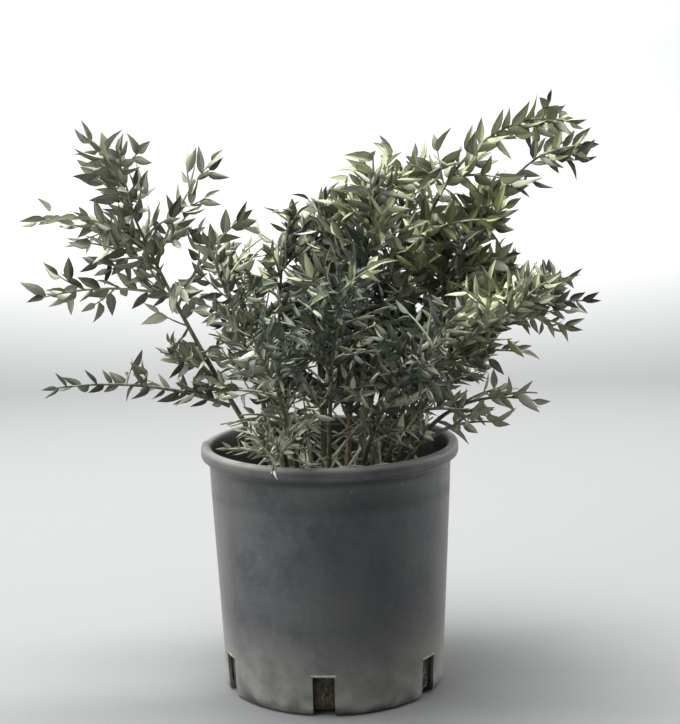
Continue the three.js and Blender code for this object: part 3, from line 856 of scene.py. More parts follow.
def side_path(stem, path, side):
    """A side branch starts beside the bare stem, just clear of it."""
    heading = direction(side["heading"], side["rise"] + SPRAY["arch"])
    lean = abs(heading @ path.heading(side["at"]))
    bare = path.length * stem["neck"]
    offset = bare_radius(side["at"] / stem["neck"], bare) + GAP["seat"] + SIDE_CORNER * lean
    start = path.at(side["at"]) + heading * offset / math.sqrt(1 - lean * lean)
    return spray_path(start, side["heading"], side["rise"], side["length"])


# How a limb's twigs look. bushy: the share that carries finer twigs. open: whether they stand free of
# the clump, with larger leaves. small: the size of their leaves, as a share of the usual.
Looks = namedtuple("Looks", "bushy open small")

# A mass of foliage: its node's name, its main twig, its random numbers, its sprays and its row.
Mass = namedtuple("Mass", "name axis draws sprays row")

AXIS_RADII = (TWIG["axis_radius"], TWIG["tip_radius"])
SPRAY_RADII = (TWIG["spray_radius"], TWIG["tip_radius"])


class Twig:
    """Part of a path that carries leaves, with the direction in which they spread to the side."""

    def __init__(self, path, start, end, radii, roll, looks):
        self.path, self.start, self.end, self.radii, self.looks = path, start, end, radii, looks
        self.length = path.length * (end - start)
        ahead = path.heading(start)
        if looks.open:
            roll = lerp(OPEN["least_roll"], OPEN["most_roll"], roll / math.pi)
        self.side = turned(np.cross(square_to(ahead, UP), ahead), ahead, roll)

    def at(self, reach):
        """The place at a distance along the twig, in millimetres."""
        return self.path.at(lerp(self.start, self.end, reach / self.length))

    def middle(self):
        return self.at(self.length / 2)

    def heading(self, reach):
        return self.path.heading(lerp(self.start, self.end, reach / self.length))


def model_runs(path, start, end, steps, radius):
    """The straight runs that the model draws for a twig, up to the tip of its last leaf."""
    last = end - 0.9 * MODEL_TIP_LEAF / path.length
    shares = [lerp(start, last, i / steps) for i in range(steps + 1)]
    points = [path.at(share) for share in shares]
    radii = [lerp(radius, TWIG["tip_radius"], i / steps) for i in range(steps + 1)]
    points.append(points[-1] + unit(points[-1] - points[-2]) * MODEL_TIP_LEAF)
    return points, radii


def sprays_of(stem, draws):
    """A stem's sprays as (share, heading, rise, length): those that are named, then the rule's own."""
    made = list(stem["sprays"])
    for k in range(stem["fill"]):
        height = (k + 0.6) / stem["fill"]
        rise = lerp(SPRAY["low_rise"], SPRAY["high_rise"], height) + draws.vary(SPRAY["rise_varies"])
        reach = stem["reach"] * lerp(1, SPRAY["length_at_top"], height)
        share = lerp(stem["neck"] + 0.03, stem["up_to"], height)
        made.append((share, stem["turn"] + k * SPRAY["turn"], rise, reach))
    return made


def further_sprays(row, draws):
    """Sprays between the model's own, a little shorter, so that the crown is as full as the real one."""
    made = list(row["extra"])
    for k in range(row["more"]):
        height = (k + 0.3) / row["more"]
        rise = lerp(SPRAY["low_rise"], SPRAY["high_rise"], height) + draws.vary(FURTHER["rise_varies"])
        reach = row["reach"] * lerp(FURTHER["length"], SPRAY["length_at_top"], height)
        share = lerp(row["neck"] - FURTHER["below"], row["up_to"] + FURTHER["above"], height)
        made.append((share, row["turn"] + FURTHER["turn"] + k * SPRAY["turn"], rise, reach))
    return made


def remember_bare(growth, stem, path):
    """A bare stem's runs: two for the flare at its foot, then the taper."""
    bare = path.length * stem["neck"]
    flare = STEM["flare_height"] / bare
    steps = range(1, STEM["steps"] + 1)
    shares = [0, 0.35 * flare, flare] + [lerp(flare, 1, i / STEM["steps"]) for i in steps]
    points = [path.at(share * stem["neck"]) for share in shares]
    radii = [bare_radius(share, bare) for share in shares]
    growth.remember(points, radii, "stem_" + stem["name"])


def grow_mass(growth, row, path, start, seed, is_open):
    """A limb's main twig. The rule's own sprays are drawn for it, but don't grow yet."""
    draws = Draws(seed)
    roll = draws() * math.pi
    name = "foliage_" + row["name"]
    growth.remember(*model_runs(path, start, 1, TWIG["axis_steps"], TWIG["axis_radius"]), name)
    looks = Looks(row["bushy"], is_open, row["small"])
    axis = Twig(path, start, 1, AXIS_RADII, roll, looks)
    return Mass(name, axis, draws, sprays_of(row, draws), row)


def grow_masses(growth, paths):
    """All masses, each stem's before those of its side branches."""
    masses = []
    for i, (stem, path) in enumerate(zip(STEMS, paths)):
        start = stem["neck"] + GAP["seat"] / path.length
        masses.append(grow_mass(growth, stem, path, start, i + 1, stem["bushy"] < 1))
        for k, side in enumerate(stem["side"]):
            branch = side_path(stem, path, side)
            masses.append(grow_mass(growth, side, branch, 0, 100 + 10 * i + k, True))
    return masses


def grow_sprays(growth, masses):
    """The model's own twigs: each mass's main twig and its sprays, as far as they have room."""
    twigs = []
    for name, axis, draws, sprays, _ in masses:
        twigs.append(axis)
        for share, heading, rise, length in sprays:
            path = spray_path(axis.path.at(share), heading, rise, length)
            clear = growth.clear_share(path, name, TWIG["spray_radius"], GAP["twig"])
            roll = draws() * math.pi
            if clear * length >= SPRAY["shortest"]:
                runs = model_runs(path, 0, clear, TWIG["spray_steps"], TWIG["spray_radius"])
                growth.remember(*runs, name)
                twigs.append(Twig(path, 0, clear, SPRAY_RADII, roll, axis.looks))
    return twigs


def grow_further(growth, masses):
    """The sprays that only this finish has, as far as the model's own leave them room."""
    twigs = []
    for name, axis, draws, _, row in masses:
        for share, heading, rise, length in further_sprays(row, draws):
            path = spray_path(axis.path.at(share), heading, rise, length)
            clear = growth.clear_share(path, name, FINE["radius"], GAP["further"])
            roll = draws() * math.pi
            if clear * length >= FINE["shortest"]:
                twigs.append(Twig(path, 0, clear, SPRAY_RADII, roll, axis.looks))
    return twigs


def finer_twigs(twig, draws):
    """Short side twigs along one twig, left and right in turn, in the plane of its leaves."""
    made = []
    room = twig.length * FINE["up_to"]
    for k in range(int(room / FINE["every"])):
        reach = FINE["first"] + k * FINE["every"] + draws.vary(FINE["place_varies"])
        ahead = twig.heading(reach)
        out = square_to(ahead, twig.side) * (-1 if k % 2 else 1)
        out = turned(out, ahead, math.radians(draws.vary(FINE["turn_varies"])))
        lean = math.radians(FINE["lean"] + draws.vary(FINE["lean_varies"]))
        heading = ahead * math.cos(lean) + out * math.sin(lean)
        longest = FINE["longest"] * (twig.length - reach)
        length = min(FINE["length"] + draws.vary(FINE["length_varies"]), longest)
        roll = draws() * math.pi
        if length < FINE["shortest"] or draws() > twig.looks.bushy:
            continue
        start = twig.at(reach)
        end = start + unit(heading + FINE["lift"] * UP) * length
        path = Path(start, start + heading * length / 2, end)
        beyond_middle = path.at(0.6)
        if clear_of_pot(end) and clear_of_pot(beyond_middle) and not in_sky(beyond_middle):
            made.append(Twig(path, 0, 1, (FINE["radius"], FINE["tip_radius"]), roll, twig.looks))
    return made


def grow():
    """The paths of all stems, and all leafy twigs, in the model's order."""
    growth = Growth()
    paths = [stem_path(stem) for stem in STEMS]
    for stem, path in zip(STEMS, paths):
        remember_bare(growth, stem, path)
    masses = grow_masses(growth, paths)
    twigs = grow_sprays(growth, masses)
    twigs += grow_further(growth, masses)
    draws = Draws(SEEDS["fine_twigs"])
    fine = []
    for twig in twigs:
        fine += finer_twigs(twig, draws)
    return paths, twigs + fine


# Leaves


# Across a blade's outline: how far each ring lies along the leaf, and how broad it is there.
LEAF_RINGS = [(0.06, 0.34), (0.22, 0.9), (0.42, 1.0), (0.68, 0.66), (0.88, 0.24)]


def blade_ring(along, breadth, fold, bend, wave):
    """The points around a blade: over its top from margin to margin, and then its keel."""
    half = LEAF["half_width"] * breadth
    drop = -bend * along * along
    twist = wave * (along - 0.4)
    left, right = half * (fold + twist), half * (fold - twist)
    crown = LEAF["thickness"] * min(1.0, breadth + 0.25)
    return [
        (-half, along, drop + left),
        (-half * 0.5, along, drop + left * 0.42 + crown * 0.5),
        (0.0, along, drop + crown * 0.15),
        (half * 0.5, along, drop + right * 0.42 + crown * 0.5),
        (half, along, drop + right),
        (0.0, along, drop - crown * 0.85),
    ]


def leaf_form(name, fold, bend, wave):
    """One leaf, a unit long: a stiff blade folded along its rib, with a spine at its tip.

    fold: how steeply the halves rise from the rib. bend: how far the tip droops. wave: how far the
    halves differ, so that the blade is a little twisted.
    """
    points = [(0.0, 0.0, 0.0)]
    for along, breadth in LEAF_RINGS:
        points += blade_ring(along, breadth, fold, bend, wave)
    points.append((0.0, 1.0, -bend))
    tip = len(points) - 1
    faces, across = [], []
    for k in range(6):
        near, far = 1 + k, 1 + (k + 1) % 6
        faces.append((0, far, near))
        for ring in range(0, tip - 7, 6):
            faces.append((near + ring, far + ring, far + ring + 6, near + ring + 6))
        faces.append((tip - 6 + k, tip - 6 + (k + 1) % 6, tip))
        across += [k] * (len(LEAF_RINGS) + 1)
    mesh = bpy.data.meshes.new(name)
    mesh.from_pydata(points, [], faces)
    mesh.shade_smooth()
    mark_blade(mesh, across, tip)
    return put(name, mesh)


def mark_blade(mesh, columns, tip):
    """Where each face lies on the blade, as a UV map, and sharp edges along its rib and margins.

    The upper side's four columns of faces run from 0 to 1 across the blade. The underside's two have
    their place along the blade plus 1, which is how the finish tells them apart.
    """
    layer = mesh.uv_layers.new(name="blade")
    for face, column in zip(mesh.polygons, columns):
        under = column > 3
        for corner in face.loop_indices:
            vertex = mesh.loops[corner].vertex_index
            along = mesh.vertices[vertex].co.y
            step = (vertex - 1) % 6
            across = 0.5 if vertex in (0, tip) or step == 5 else step / 4
            layer.uv[corner].vector = (across, along + (1.0 if under else 0.0))
    sharp = mesh.attributes.new("sharp_edge", "BOOLEAN", "EDGE")
    for edge in mesh.edges:
        steps = {(vertex - 1) % 6 for vertex in edge.vertices if 0 < vertex < tip}
        sharp.data[edge.index].value = len(steps) == 1 and steps <= {0, 2, 4}


def how_open(twig):
    """Whether a twig's leaves stand free of the clump, from 0 to 1."""
    if twig.looks.open:
        return 1.0
    rise = (twig.middle()[2] - CROWN_TOP["start"]) / (CROWN_TOP["full"] - CROWN_TOP["start"])
    return CROWN_TOP["share"] * min(max(rise, 0), 1)


def in_sky(place):
    """Whether a place lies in one of the gaps where the sky shows, seen from the camera."""
    share = EYE[1] / (EYE[1] - place[1])
    x = lerp(EYE[0], place[0], share)
    z = lerp(EYE[2], place[2], share)
    return any(math.hypot((x - gap[0]) / gap[2], (z - gap[1]) / gap[3]) < 1 for gap in SKY)


def in_bare_mouth(place, twig):
    """Whether a place is where a twig's shoots are bare, over the pot's mouth."""
    if twig.looks.small < 1:
        return False
    low = place[2] < BARE_MOUTH["height"] - BARE_MOUTH["fall"] * place[0]
    reach = POT["rim_radius"] if twig.looks.open else BARE_MOUTH["radius"]
    return low and math.hypot(place[0], place[1]) < reach


Leaf = namedtuple("Leaf", "root along face length breadth")


def leaves_along(twig, draws):
    """A twig's leaves, left and right in turn, and the last one at its tip."""
    leaves = []
    openness = how_open(twig)
    size = twig.looks.small * lerp(1, OPEN["length"], openness)
    pace = twig.looks.small * lerp(1, OPEN["step"], openness)
    breadth = lerp(1, OPEN["breadth"], openness)
    lift_varies = lerp(LEAF["lift_varies"], OPEN["lift_varies"], openness)
    axis_end = twig.length - LEAF["tip_root"] * LEAF["length"]
    reach = LEAF["first_at"] + draws() * LEAF["first_varies"]
    k = 0
    while reach < axis_end:
        ahead = twig.heading(reach)
        hand = 1 if k % 2 else -1
        out = square_to(ahead, twig.side) * hand
        out = turned(out, ahead, math.radians(LEAF["lift"] + draws.vary(lift_varies)) * hand)
        spread = lerp(LEAF["spread"], LEAF["spread_at_tip"], reach / twig.length)
        lean = math.radians(spread + draws.vary(LEAF["spread_varies"]))
        along = ahead * math.cos(lean) + out * math.sin(lean)
        face = unit(np.cross(ahead, out))
        face = turned(face, along, math.radians(draws.vary(LEAF["twist"])))
        length = (LEAF["length"] + draws.vary(LEAF["length_varies"])) * size
        leaves.append(Leaf(twig.at(reach), along, face, length, breadth))
        reach += (LEAF["step"] + draws.vary(LEAF["step_varies"])) * pace
        k += 1
    ahead = twig.heading(axis_end)
    face = np.cross(ahead, square_to(ahead, twig.side))
    length = LEAF["length"] * twig.looks.small
    leaves.append(Leaf(twig.at(axis_end), ahead, face, length, breadth))
    return leaves


def has_room(leaf, twig):
    """Whether a leaf is out of the bare mouth and of the gaps in the crown, and clear of the pot."""
    def at(share):
        return leaf.root + leaf.along * leaf.length * share

    if in_bare_mouth(leaf.root, twig) or in_sky(at(0.5)):
        return False
    return all(clear_of_pot(at(share), GAP["leaf"]) for share in (0.5, 1))


def leaf_tree():
    """One of three leaf forms on each point, turned and sized by the point's own attributes."""
    tree = node_tree("leaves on twigs", [
        ("Folded leaf", "NodeSocketObject"), ("Flat leaf", "NodeSocketObject"),
        ("Bent leaf", "NodeSocketObject"), ("Finish", "NodeSocketMaterial"),
    ])
    inputs = add_node(tree, "NodeGroupInput", {}).outputs
    forms = add_node(tree, "GeometryNodeGeometryToInstance", {})
    for label in ("Folded leaf", "Flat leaf", "Bent leaf"):
        form = add_node(tree, "GeometryNodeObjectInfo", {"Object": inputs[label]})
        tree.links.new(form.outputs["Geometry"], forms.inputs["Geometry"])
    placed = add_node(tree, "GeometryNodeInstanceOnPoints", {
        "Points": inputs["Geometry"],
        "Instance": forms.outputs["Instances"],
        "Pick Instance": True,
        "Instance Index": named(tree, "form", "INT"),
        "Rotation": named(tree, "turn", "FLOAT_VECTOR"),
        "Scale": named(tree, "size", "FLOAT_VECTOR"),
    })
    finish_tree(tree, placed.outputs["Instances"], inputs["Finish"])
    return tree


def leaf_piece(name, leaves, tree, forms, material, rng):
    """All leaves of one colour, each with its own breadth, tone and form."""
    turns = []
    for leaf in leaves:
        axes = Matrix((np.cross(leaf.along, leaf.face), leaf.along, leaf.face)).transposed()
        turns.append(axes.to_euler())
    length = np.array([leaf.length for leaf in leaves])
    breadth = length * np.array([leaf.breadth for leaf in leaves])
    breadth *= rng.uniform(LEAF["narrowest"], LEAF["broadest"], len(leaves))
    source = plain_mesh(name, [leaf.root for leaf in leaves], [])
    point_attribute(source.data, "turn", "FLOAT_VECTOR", "vector", turns)
    sizes = np.column_stack([breadth, length, length]) * MM
    point_attribute(source.data, "size", "FLOAT_VECTOR", "vector", sizes)
    point_attribute(source.data, "tone", "FLOAT", "value", rng.beta(*TONES, len(leaves)))
    form = source.data.attributes.new("form", "INT", "POINT")
    form.data.foreach_set("value", rng.integers(0, 3, len(leaves)).astype(np.int32))
    values = dict(zip(("Folded leaf", "Flat leaf", "Bent leaf"), forms))
    return run_tree(name, source, tree, {**values, "Finish": material})


# Leaf colours, dark and pale: each twig's leaves have one of these.
LEAF_COLOURS = {
    "deep": (srgb(42, 45, 39), srgb(100, 104, 90)),
    "green": (srgb(58, 62, 49), srgb(150, 154, 130)),
    "blue": (srgb(38, 47, 43), srgb(96, 106, 97)),
    "young": (srgb(72, 78, 46), srgb(152, 157, 106)),
    "olive": (srgb(68, 71, 52), srgb(176, 179, 142)),
    "sage": (srgb(68, 71, 60), srgb(184, 186, 166)),
}


def nearness(twig, spot):
    """From 1 where a twig's middle is at a spot's own middle, seen from the front, to 0 far from it."""
    place = twig.middle()
    x, z, width, height = spot
    return math.exp(-((place[0] - x) / width) ** 2 - ((place[2] - z) / height) ** 2)


def colour_of(twig, rng):
    """Darker and bluer in the middle of the clump as painted shade, paler higher up partly as painted
    light, with yellower sprays high on the right.
    """
    place = twig.middle()
    low, high = 180, 360
    height = (place[2] - low) / (high - low)
    inner = nearness(twig, CORE)
    if rng.uniform() < DEAL["stray"]:
        return "deep"
    if rng.uniform() < DEAL["young"] * nearness(twig, YOUNG_GROWTH):
        return "young"
    above = min(max(height - 0.45, -0.1), 0.4)
    # Painted light and shade: the chance rises with height, partly as painted light on the lit top, and
    # falls towards the core as painted shade.
    chance = rng.uniform() + DEAL["height"] * above - DEAL["core"] * inner
    chance += sum(shift * nearness(twig, spot) for spot, shift in PAINTED_LIGHT_AND_SHADE_SPOTS)
    if chance < DEAL["deep"] - 0.25 * inner:
        return "deep"
    if chance < DEAL["blue"]:
        return "blue" if inner > CORE_EDGE["leaves"] else "green"
    if chance < DEAL["green"]:
        return "green"
    high_right = height > 0.3 and place[0] > -60
    return "olive" if chance < DEAL["olive"] and high_right else "sage"


def make_leaves(twigs):
    """Six pieces, one for each colour. All leaves on a twig have the same colour."""
    draws = Draws(SEEDS["leaves"])
    rng = np.random.default_rng(SEEDS["leaf_looks"])
    dealt = {colour: [] for colour in LEAF_COLOURS}
    for twig in twigs:
        leaves = leaves_along(twig, draws)
        dealt[colour_of(twig, rng)] += [leaf for leaf in leaves if has_room(leaf, twig)]
    tree = leaf_tree()
    forms = [
        leaf_form("folded leaf", fold=0.85, bend=-0.26, wave=0.25),
        leaf_form("flat leaf", fold=0.4, bend=0.1, wave=-0.5),
        leaf_form("bent leaf", fold=0.65, bend=0.34, wave=0.4),
    ]
    pieces = []
    for colour, leaves in dealt.items():
        material = leaf_finish("leaf " + colour, *LEAF_COLOURS[colour])
        pieces.append(leaf_piece("leaves_" + colour, leaves, tree, forms, material, rng))
    for form in forms:
        bpy.data.objects.remove(form)
    return pieces


# Stems and twigs


def twig_tree():
    """A grooved skin along each chain of edges, as thick as its points say."""
    tree = node_tree("grooved twigs", [
        ("Ridges", "NodeSocketInt"), ("Groove", "NodeSocketFloat"), ("Finish", "NodeSocketMaterial"),
    ])
    inputs = add_node(tree, "NodeGroupInput", {}).outputs
    lines = add_node(tree, "GeometryNodeMeshToCurve", {"Mesh": inputs["Geometry"]})
    inner = add_node(tree, "ShaderNodeMath", {0: 1.0, 1: inputs["Groove"]}, operation="SUBTRACT")
    ring = add_node(tree, "GeometryNodeCurveStar", {
        "Points": inputs["Ridges"], "Inner Radius": inner.outputs[0], "Outer Radius": 1.0,
    })
    skin = add_node(tree, "GeometryNodeCurveToMesh", {
        "Curve": lines.outputs["Curve"],
        "Profile Curve": ring.outputs["Curve"],
        "Scale": named(tree, "thickness", "FLOAT"),
        "Fill Caps": True,
    })
    smooth = add_node(tree, "GeometryNodeSetShadeSmooth", {"Geometry": skin.outputs["Mesh"]})
    finish_tree(tree, smooth.outputs["Geometry"], inputs["Finish"])
    return tree


def swept(name, lines, tree, kind, material):
    """Grooved limbs of one kind along lines of (points, radii)."""
    points, radii, edges = [], [], []
    for line, thickness in lines:
        edges += [(len(points) + i, len(points) + i + 1) for i in range(len(line) - 1)]
        points += list(line)
        radii += list(thickness)
    source = plain_mesh(name, points, [], edges)
    point_attribute(source.data, "thickness", "FLOAT", "value", np.array(radii) * MM)
    ridges, groove = GROOVES[kind]
    values = {"Ridges": ridges, "Groove": groove, "Finish": material}
    return run_tree(name, source, tree, values)


def knuckles(reach, kind):
    """A swelling at each joint along a limb of that kind."""
    every, size = JOINTS[kind]
    offset = np.abs((reach / every + 0.5) % 1 - 0.5) * every
    return 1 + size * np.exp(-((offset / JOINT_REACH) ** 2))


def bare_line(stem, path):
    """A stem's bare part, from its foot to its neck, with its first joint 15 mm up."""
    shares = np.linspace(0, 1, 44)
    bare = path.length * stem["neck"]
    radii = np.array([bare_radius(share, bare) for share in shares])
    radii *= knuckles(shares * bare + 9, "stem")
    return path.at(shares * stem["neck"]), radii


def leafy_line(twig):
    """A twig up to just inside its last leaf."""
    end = twig.length - LEAF["twig_end"] * LEAF["length"]
    count = max(5, int(end / 4))
    reach = np.linspace(0, end, count)
    points = [twig.at(r) for r in reach]
    radii = lerp(twig.radii[0], twig.radii[1], reach / end)
    return points, radii * knuckles(reach, "twig")


def dry_lines():
    """Thin bare shoots in the pot's mouth, which lean every way and cross each other."""
    draws = Draws(SEEDS["dry_shoots"])
    lines = []
    while len(lines) < DRY["count"]:
        spot, around = DRY["foot_radius"] * math.sqrt(draws()), draws() * 2 * math.pi
        foot = np.array([spot * math.cos(around), spot * math.sin(around), SOIL["top"] - 1])
        heading = direction(draws() * 360, DRY["rise"] + draws.vary(DRY["rise_varies"]))
        length = DRY["length"] + draws.vary(DRY["length_varies"])
        bend = unit(heading + DRY["lift"] * UP) * length * 0.5
        path = Path(foot, foot + bend, foot + bend + heading * length * 0.5)
        tip = path.at(1)
        inside = all(clear_of_pot(path.at(share), GAP["dry"]) for share in (0.3, 0.5, 0.7, 0.85, 1))
        if not inside or math.hypot(tip[0], tip[1]) > DRY["reach"]:
            continue
        shares = np.linspace(0, 1, 16)
        thickness = DRY["thinnest"] + DRY["thickness_varies"] * draws()
        radii = lerp(DRY["radius"], DRY["tip_radius"], shares) * thickness
        lines.append((path.at(shares), radii * knuckles(shares * length, "dry")))
    return lines


def make_bare_stems(paths, tree, green):
    """The stems' bare parts, of which the oldest is brown, and the dry shoots between them."""
    brown = stem_finish("old woody stem", srgb(96, 76, 62), srgb(180, 146, 124))
    straw = stem_finish("dry shoots", srgb(142, 147, 127), srgb(216, 217, 196))
    bare = {stem["name"]: bare_line(stem, path) for stem, path in zip(STEMS, paths)}
    old = bare.pop(OLD_STEM)
    stems = swept("grooved_stems", bare.values(), tree, "stem", green)
    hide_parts(*["stem_" + name for name in bare])
    wood = swept("old_stem", [old], tree, "old", brown)
    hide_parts("stem_" + OLD_STEM)
    return [stems, wood, swept("dry_shoots", dry_lines(), tree, "dry", straw)]


def make_twigs(twigs, tree, green):
    """The stems' leafy parts, and their twigs, which are a darker green in the middle of the clump as
    painted shade.
    """
    pale = stem_finish("young twigs", srgb(100, 104, 82), srgb(152, 155, 128))
    axes = [leafy_line(twig) for twig in twigs if twig.radii == AXIS_RADII]
    inner, outer = [], []
    for twig in twigs:
        if twig.radii != AXIS_RADII:
            # Painted shade: twigs near the core take the darker green finish, the others the pale one.
            side = inner if nearness(twig, CORE) >= CORE_EDGE["twigs"] else outer
            side.append(leafy_line(twig))
    return [
        swept("leafy_stems", axes, tree, "axis", green),
        swept("inner_twigs", inner, tree, "twig", green),
        swept("leafy_twigs", outer, tree, "twig", pale),
    ]


# Pot, soil and roots


def lathe(name, profile, segments, shape=None):
    """A closed turned shape from (radius, height) points that start and end on the axis."""
    turn = np.arange(segments) * 2 * math.pi / segments
    points = [(0, 0, profile[0][1])]
    for radius, height in profile[1:-1]:
        ring = [(radius * math.cos(a), radius * math.sin(a), height) for a in turn]
        points += [shape(p) for p in ring] if shape else ring
    points.append((0, 0, profile[-1][1]))
    last = len(points) - 1
    faces = []
    for k in range(segments):
        near, far = 1 + k, 1 + (k + 1) % segments
        faces.append((0, far, near))
        for ring in range(0, last - 1 - segments, segments):
            faces.append((near + ring, far + ring, far + ring + segments, near + ring + segments))
        faces.append((last - segments + k, last - segments + (k + 1) % segments, last))
    return plain_mesh(name, points, faces)


def pot_profile():
    """The pot's section from the middle of its underside, out and over the rim, to the floor inside."""
    top, wall = POT["height"], POT["wall"]
    band_foot = top - POT["rim_band"]
    cove_foot = band_foot - POT["rim_underside"]
    rim = POT["rim_radius"]

    def inner(height):
        return wall_radius(height) - wall

    base, cove, mouth = POT["base_radius"], wall_radius(cove_foot), inner(top)
    underside = [(0, 1.2), (26, 1.2), (27, 0), (base - 6, 0), (base - 1, 0)]
    corner = [(base + 1, 0.5), (POT["wall_low"] - 0.7, 1.6), (POT["wall_low"], 3.4)]
    outer_wall = [
        (wall_radius(h), h) for h in np.linspace(POT["corner_rise"] + 3, cove_foot - 2, 22)
    ]
    under_rim = [
        (cove + 0.2, cove_foot), (cove + 0.9, cove_foot + 2), (cove + 2.4, cove_foot + 3.9),
        (rim - 1.6, band_foot - 0.9),
    ]
    rolled_rim = [
        (rim - 0.5, band_foot - 0.1), (rim, band_foot + 1.2), (rim, top - 2.2), (rim - 0.5, top - 1),
        (rim - 1.6, top - 0.25), (rim - 3.0, top), (rim - 4.6, top - 0.15),
        (mouth + 1.4, top - 0.8), (mouth + 0.4, top - 2), (mouth, top - 3.4),
    ]
    inner_wall = [(inner(h), h) for h in np.linspace(top - 6, POT["floor"] + 4, 16)]
    floor = [(inner(POT["floor"]) - 2, POT["floor"]), (0, POT["floor"])]
    return underside + corner + outer_wall + under_rim + rolled_rim + inner_wall + floor


def worn_round(point):
    """Very slightly out of round, most of all at the rim, which slants up to the back."""
    x, y, z = point
    turn = math.atan2(y, x)
    share = 1 + 0.0035 * (z / POT["height"]) ** 2 * math.sin(2 * turn + 0.7)
    share += 0.0012 * math.sin(5 * turn + z * 0.03)
    slant = min(max((z - SOIL["top"]) / 8, 0), 1)
    return (x * share, y * share, z + slant * rim_lift(y))


def blocks(name, sizes, centres, headings):
    """Blocks, each turned to its heading, as one mesh. Sizes and centres are radial first."""
    half = np.array(sizes) / 2
    corners = [(x, y, z) for x in (-1, 1) for y in (-1, 1) for z in (-1, 1)]
    sides = [(0, 1, 3, 2), (4, 6, 7, 5), (0, 4, 5, 1), (2, 3, 7, 6), (0, 2, 6, 4), (1, 5, 7, 3)]
    points, faces = [], []
    for heading in headings:
        turn = Matrix.Rotation(heading, 3, "Z")
        first = len(points)
        points += [turn @ (Vector(np.array(c) * half) + Vector(centres)) for c in corners]
        faces += [tuple(first + i for i in side) for side in sides]
    return plain_mesh(name, points, faces)


def drain_headings():
    """Where the drain openings are, as angles around the pot's axis."""
    step = 360 / DRAIN["count"]
    return [math.radians(DRAIN["first_heading"] + step * k) for k in range(DRAIN["count"])]


def make_lips():
    """A low moulded lip over each drain opening, which follows the wall round."""
    outer = wall_radius(DRAIN["top"]) + 0.35
    section = [
        (outer - 1.2, 0.1), (outer - 0.1, 0.1), (outer, 0.45), (outer, 1.1), (outer - 0.2, 1.5),
        (outer - 1.2, 1.5),
    ]
    half_turn = (DRAIN["width"] / 2 + 1) / outer
    turns = np.linspace(-half_turn, half_turn, 9)
    corners = len(section)
    points, faces = [], []
    for heading in drain_headings():
        first = len(points)
        for turn in heading + turns:
            points += [(r * math.cos(turn), r * math.sin(turn), DRAIN["top"] + h) for r, h in section]
        for ring in range(first, first + corners * (len(turns) - 1), corners):
            for k in range(corners):
                near, far = ring + k, ring + (k + 1) % corners
                faces.append((near, near + corners, far + corners, far))
        faces.append(tuple(range(first, first + corners)))
        faces.append(tuple(range(len(points) - 1, len(points) - 1 - corners, -1)))
    lips = plain_mesh("drain_lips", points, faces)
    lips.data.materials.append(lip_finish())
    return lips


def drain_cutter():
    """Blocks with soft corners, as wide as the drain openings, that reach in under the pot's wall."""
    depth = 24
    middle = POT["base_radius"] - DRAIN["reach_in"] + depth / 2
    sizes = (depth, DRAIN["width"], 2 * DRAIN["top"])
    cutter = blocks("drain cutter", sizes, (middle, 0, 0), drain_headings())
    soft = cutter.modifiers.new("soft corners", "BEVEL")
    soft.width = 1.2 * MM
    soft.segments = 2
    return cutter


def make_pot():
    """The pot's wall, floor and rim, with the drain openings cut out."""
    pot = lathe("weathered_pot", pot_profile(), POT["segments"], worn_round)
    cutter = drain_cutter()
    cut = pot.modifiers.new("drain", "BOOLEAN")
    cut.operation = "DIFFERENCE"
    cut.object = cutter
    cut.solver = "EXACT"
    pot = settled("weathered_pot", pot)
    bpy.data.objects.remove(cutter)
    pot.data.shade_smooth()
    pot.data.set_sharp_from_angle(angle=math.radians(38))
    pot.data.materials.clear()
    pot.data.materials.append(pot_finish())
    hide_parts("pot")
    return pot


def soil_height(x, y):
    """How far the soil's top stands above its mean at a place."""
    low = noise.noise(Vector((x / 22, y / 22, 3.1))) * 1.1
    fine = noise.noise(Vector((x / 6, y / 6, 9.7))) * 0.6
    return low + fine


def uneven_soil(point):
    """Hummocks on the soil's top, and hollows along its side."""
    x, y, z = point
    if z > SOIL["top"] - SOIL["edge_dip"] - 0.5:
        return (x, y, z + soil_height(x, y) - 0.5)
    share = 1 - 0.012 * (0.5 + noise.noise(Vector((x / 7, y / 7, z / 7))))
    return (x * share, y * share, z)


def soil_profile():
    """The soil's section from the middle of its underside, up beside the wall and over its top."""
    def edge(height):
        return wall_radius(height) - POT["wall"] - SOIL["fit"]

    bottom, top, flat = POT["floor"] + SOIL["fit"], SOIL["top"], SOIL["flat_radius"]
    edge_top = top - SOIL["edge_dip"]
    rim = edge(edge_top)
    profile = [(0, bottom), (40, bottom), (edge(bottom) - 2.4, bottom)]
    profile += [(edge(h), h) for h in np.linspace(bottom + 2.4, edge_top, 44)]
    profile += [
        (r, lerp(edge_top, top, (rim - r) / (rim - flat))) for r in np.linspace(rim - 2, flat, 6)
    ]
    profile += [(r, top) for r in np.linspace(flat - 3, 3, 19)]
    return profile + [(0, top)]


def make_soil():
    """The soil that fills the pot."""
    soil = lathe("potting_soil", soil_profile(), SOIL["segments"], uneven_soil)
    soil.data.shade_smooth()
    soil.data.materials.append(soil_finish())
    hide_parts("soil")
    return soil


def at_random(tree, kind, low, high, seed):
    """A random number or vector for each point."""
    first = {"FLOAT_VECTOR": 0, "FLOAT": 2}[kind]
    inputs = {first: low, first + 1: high, "Seed": seed}
    node = add_node(tree, "FunctionNodeRandomValue", inputs, data_type=kind)
    return node.outputs[{"FLOAT_VECTOR": 0, "FLOAT": 1}[kind]]


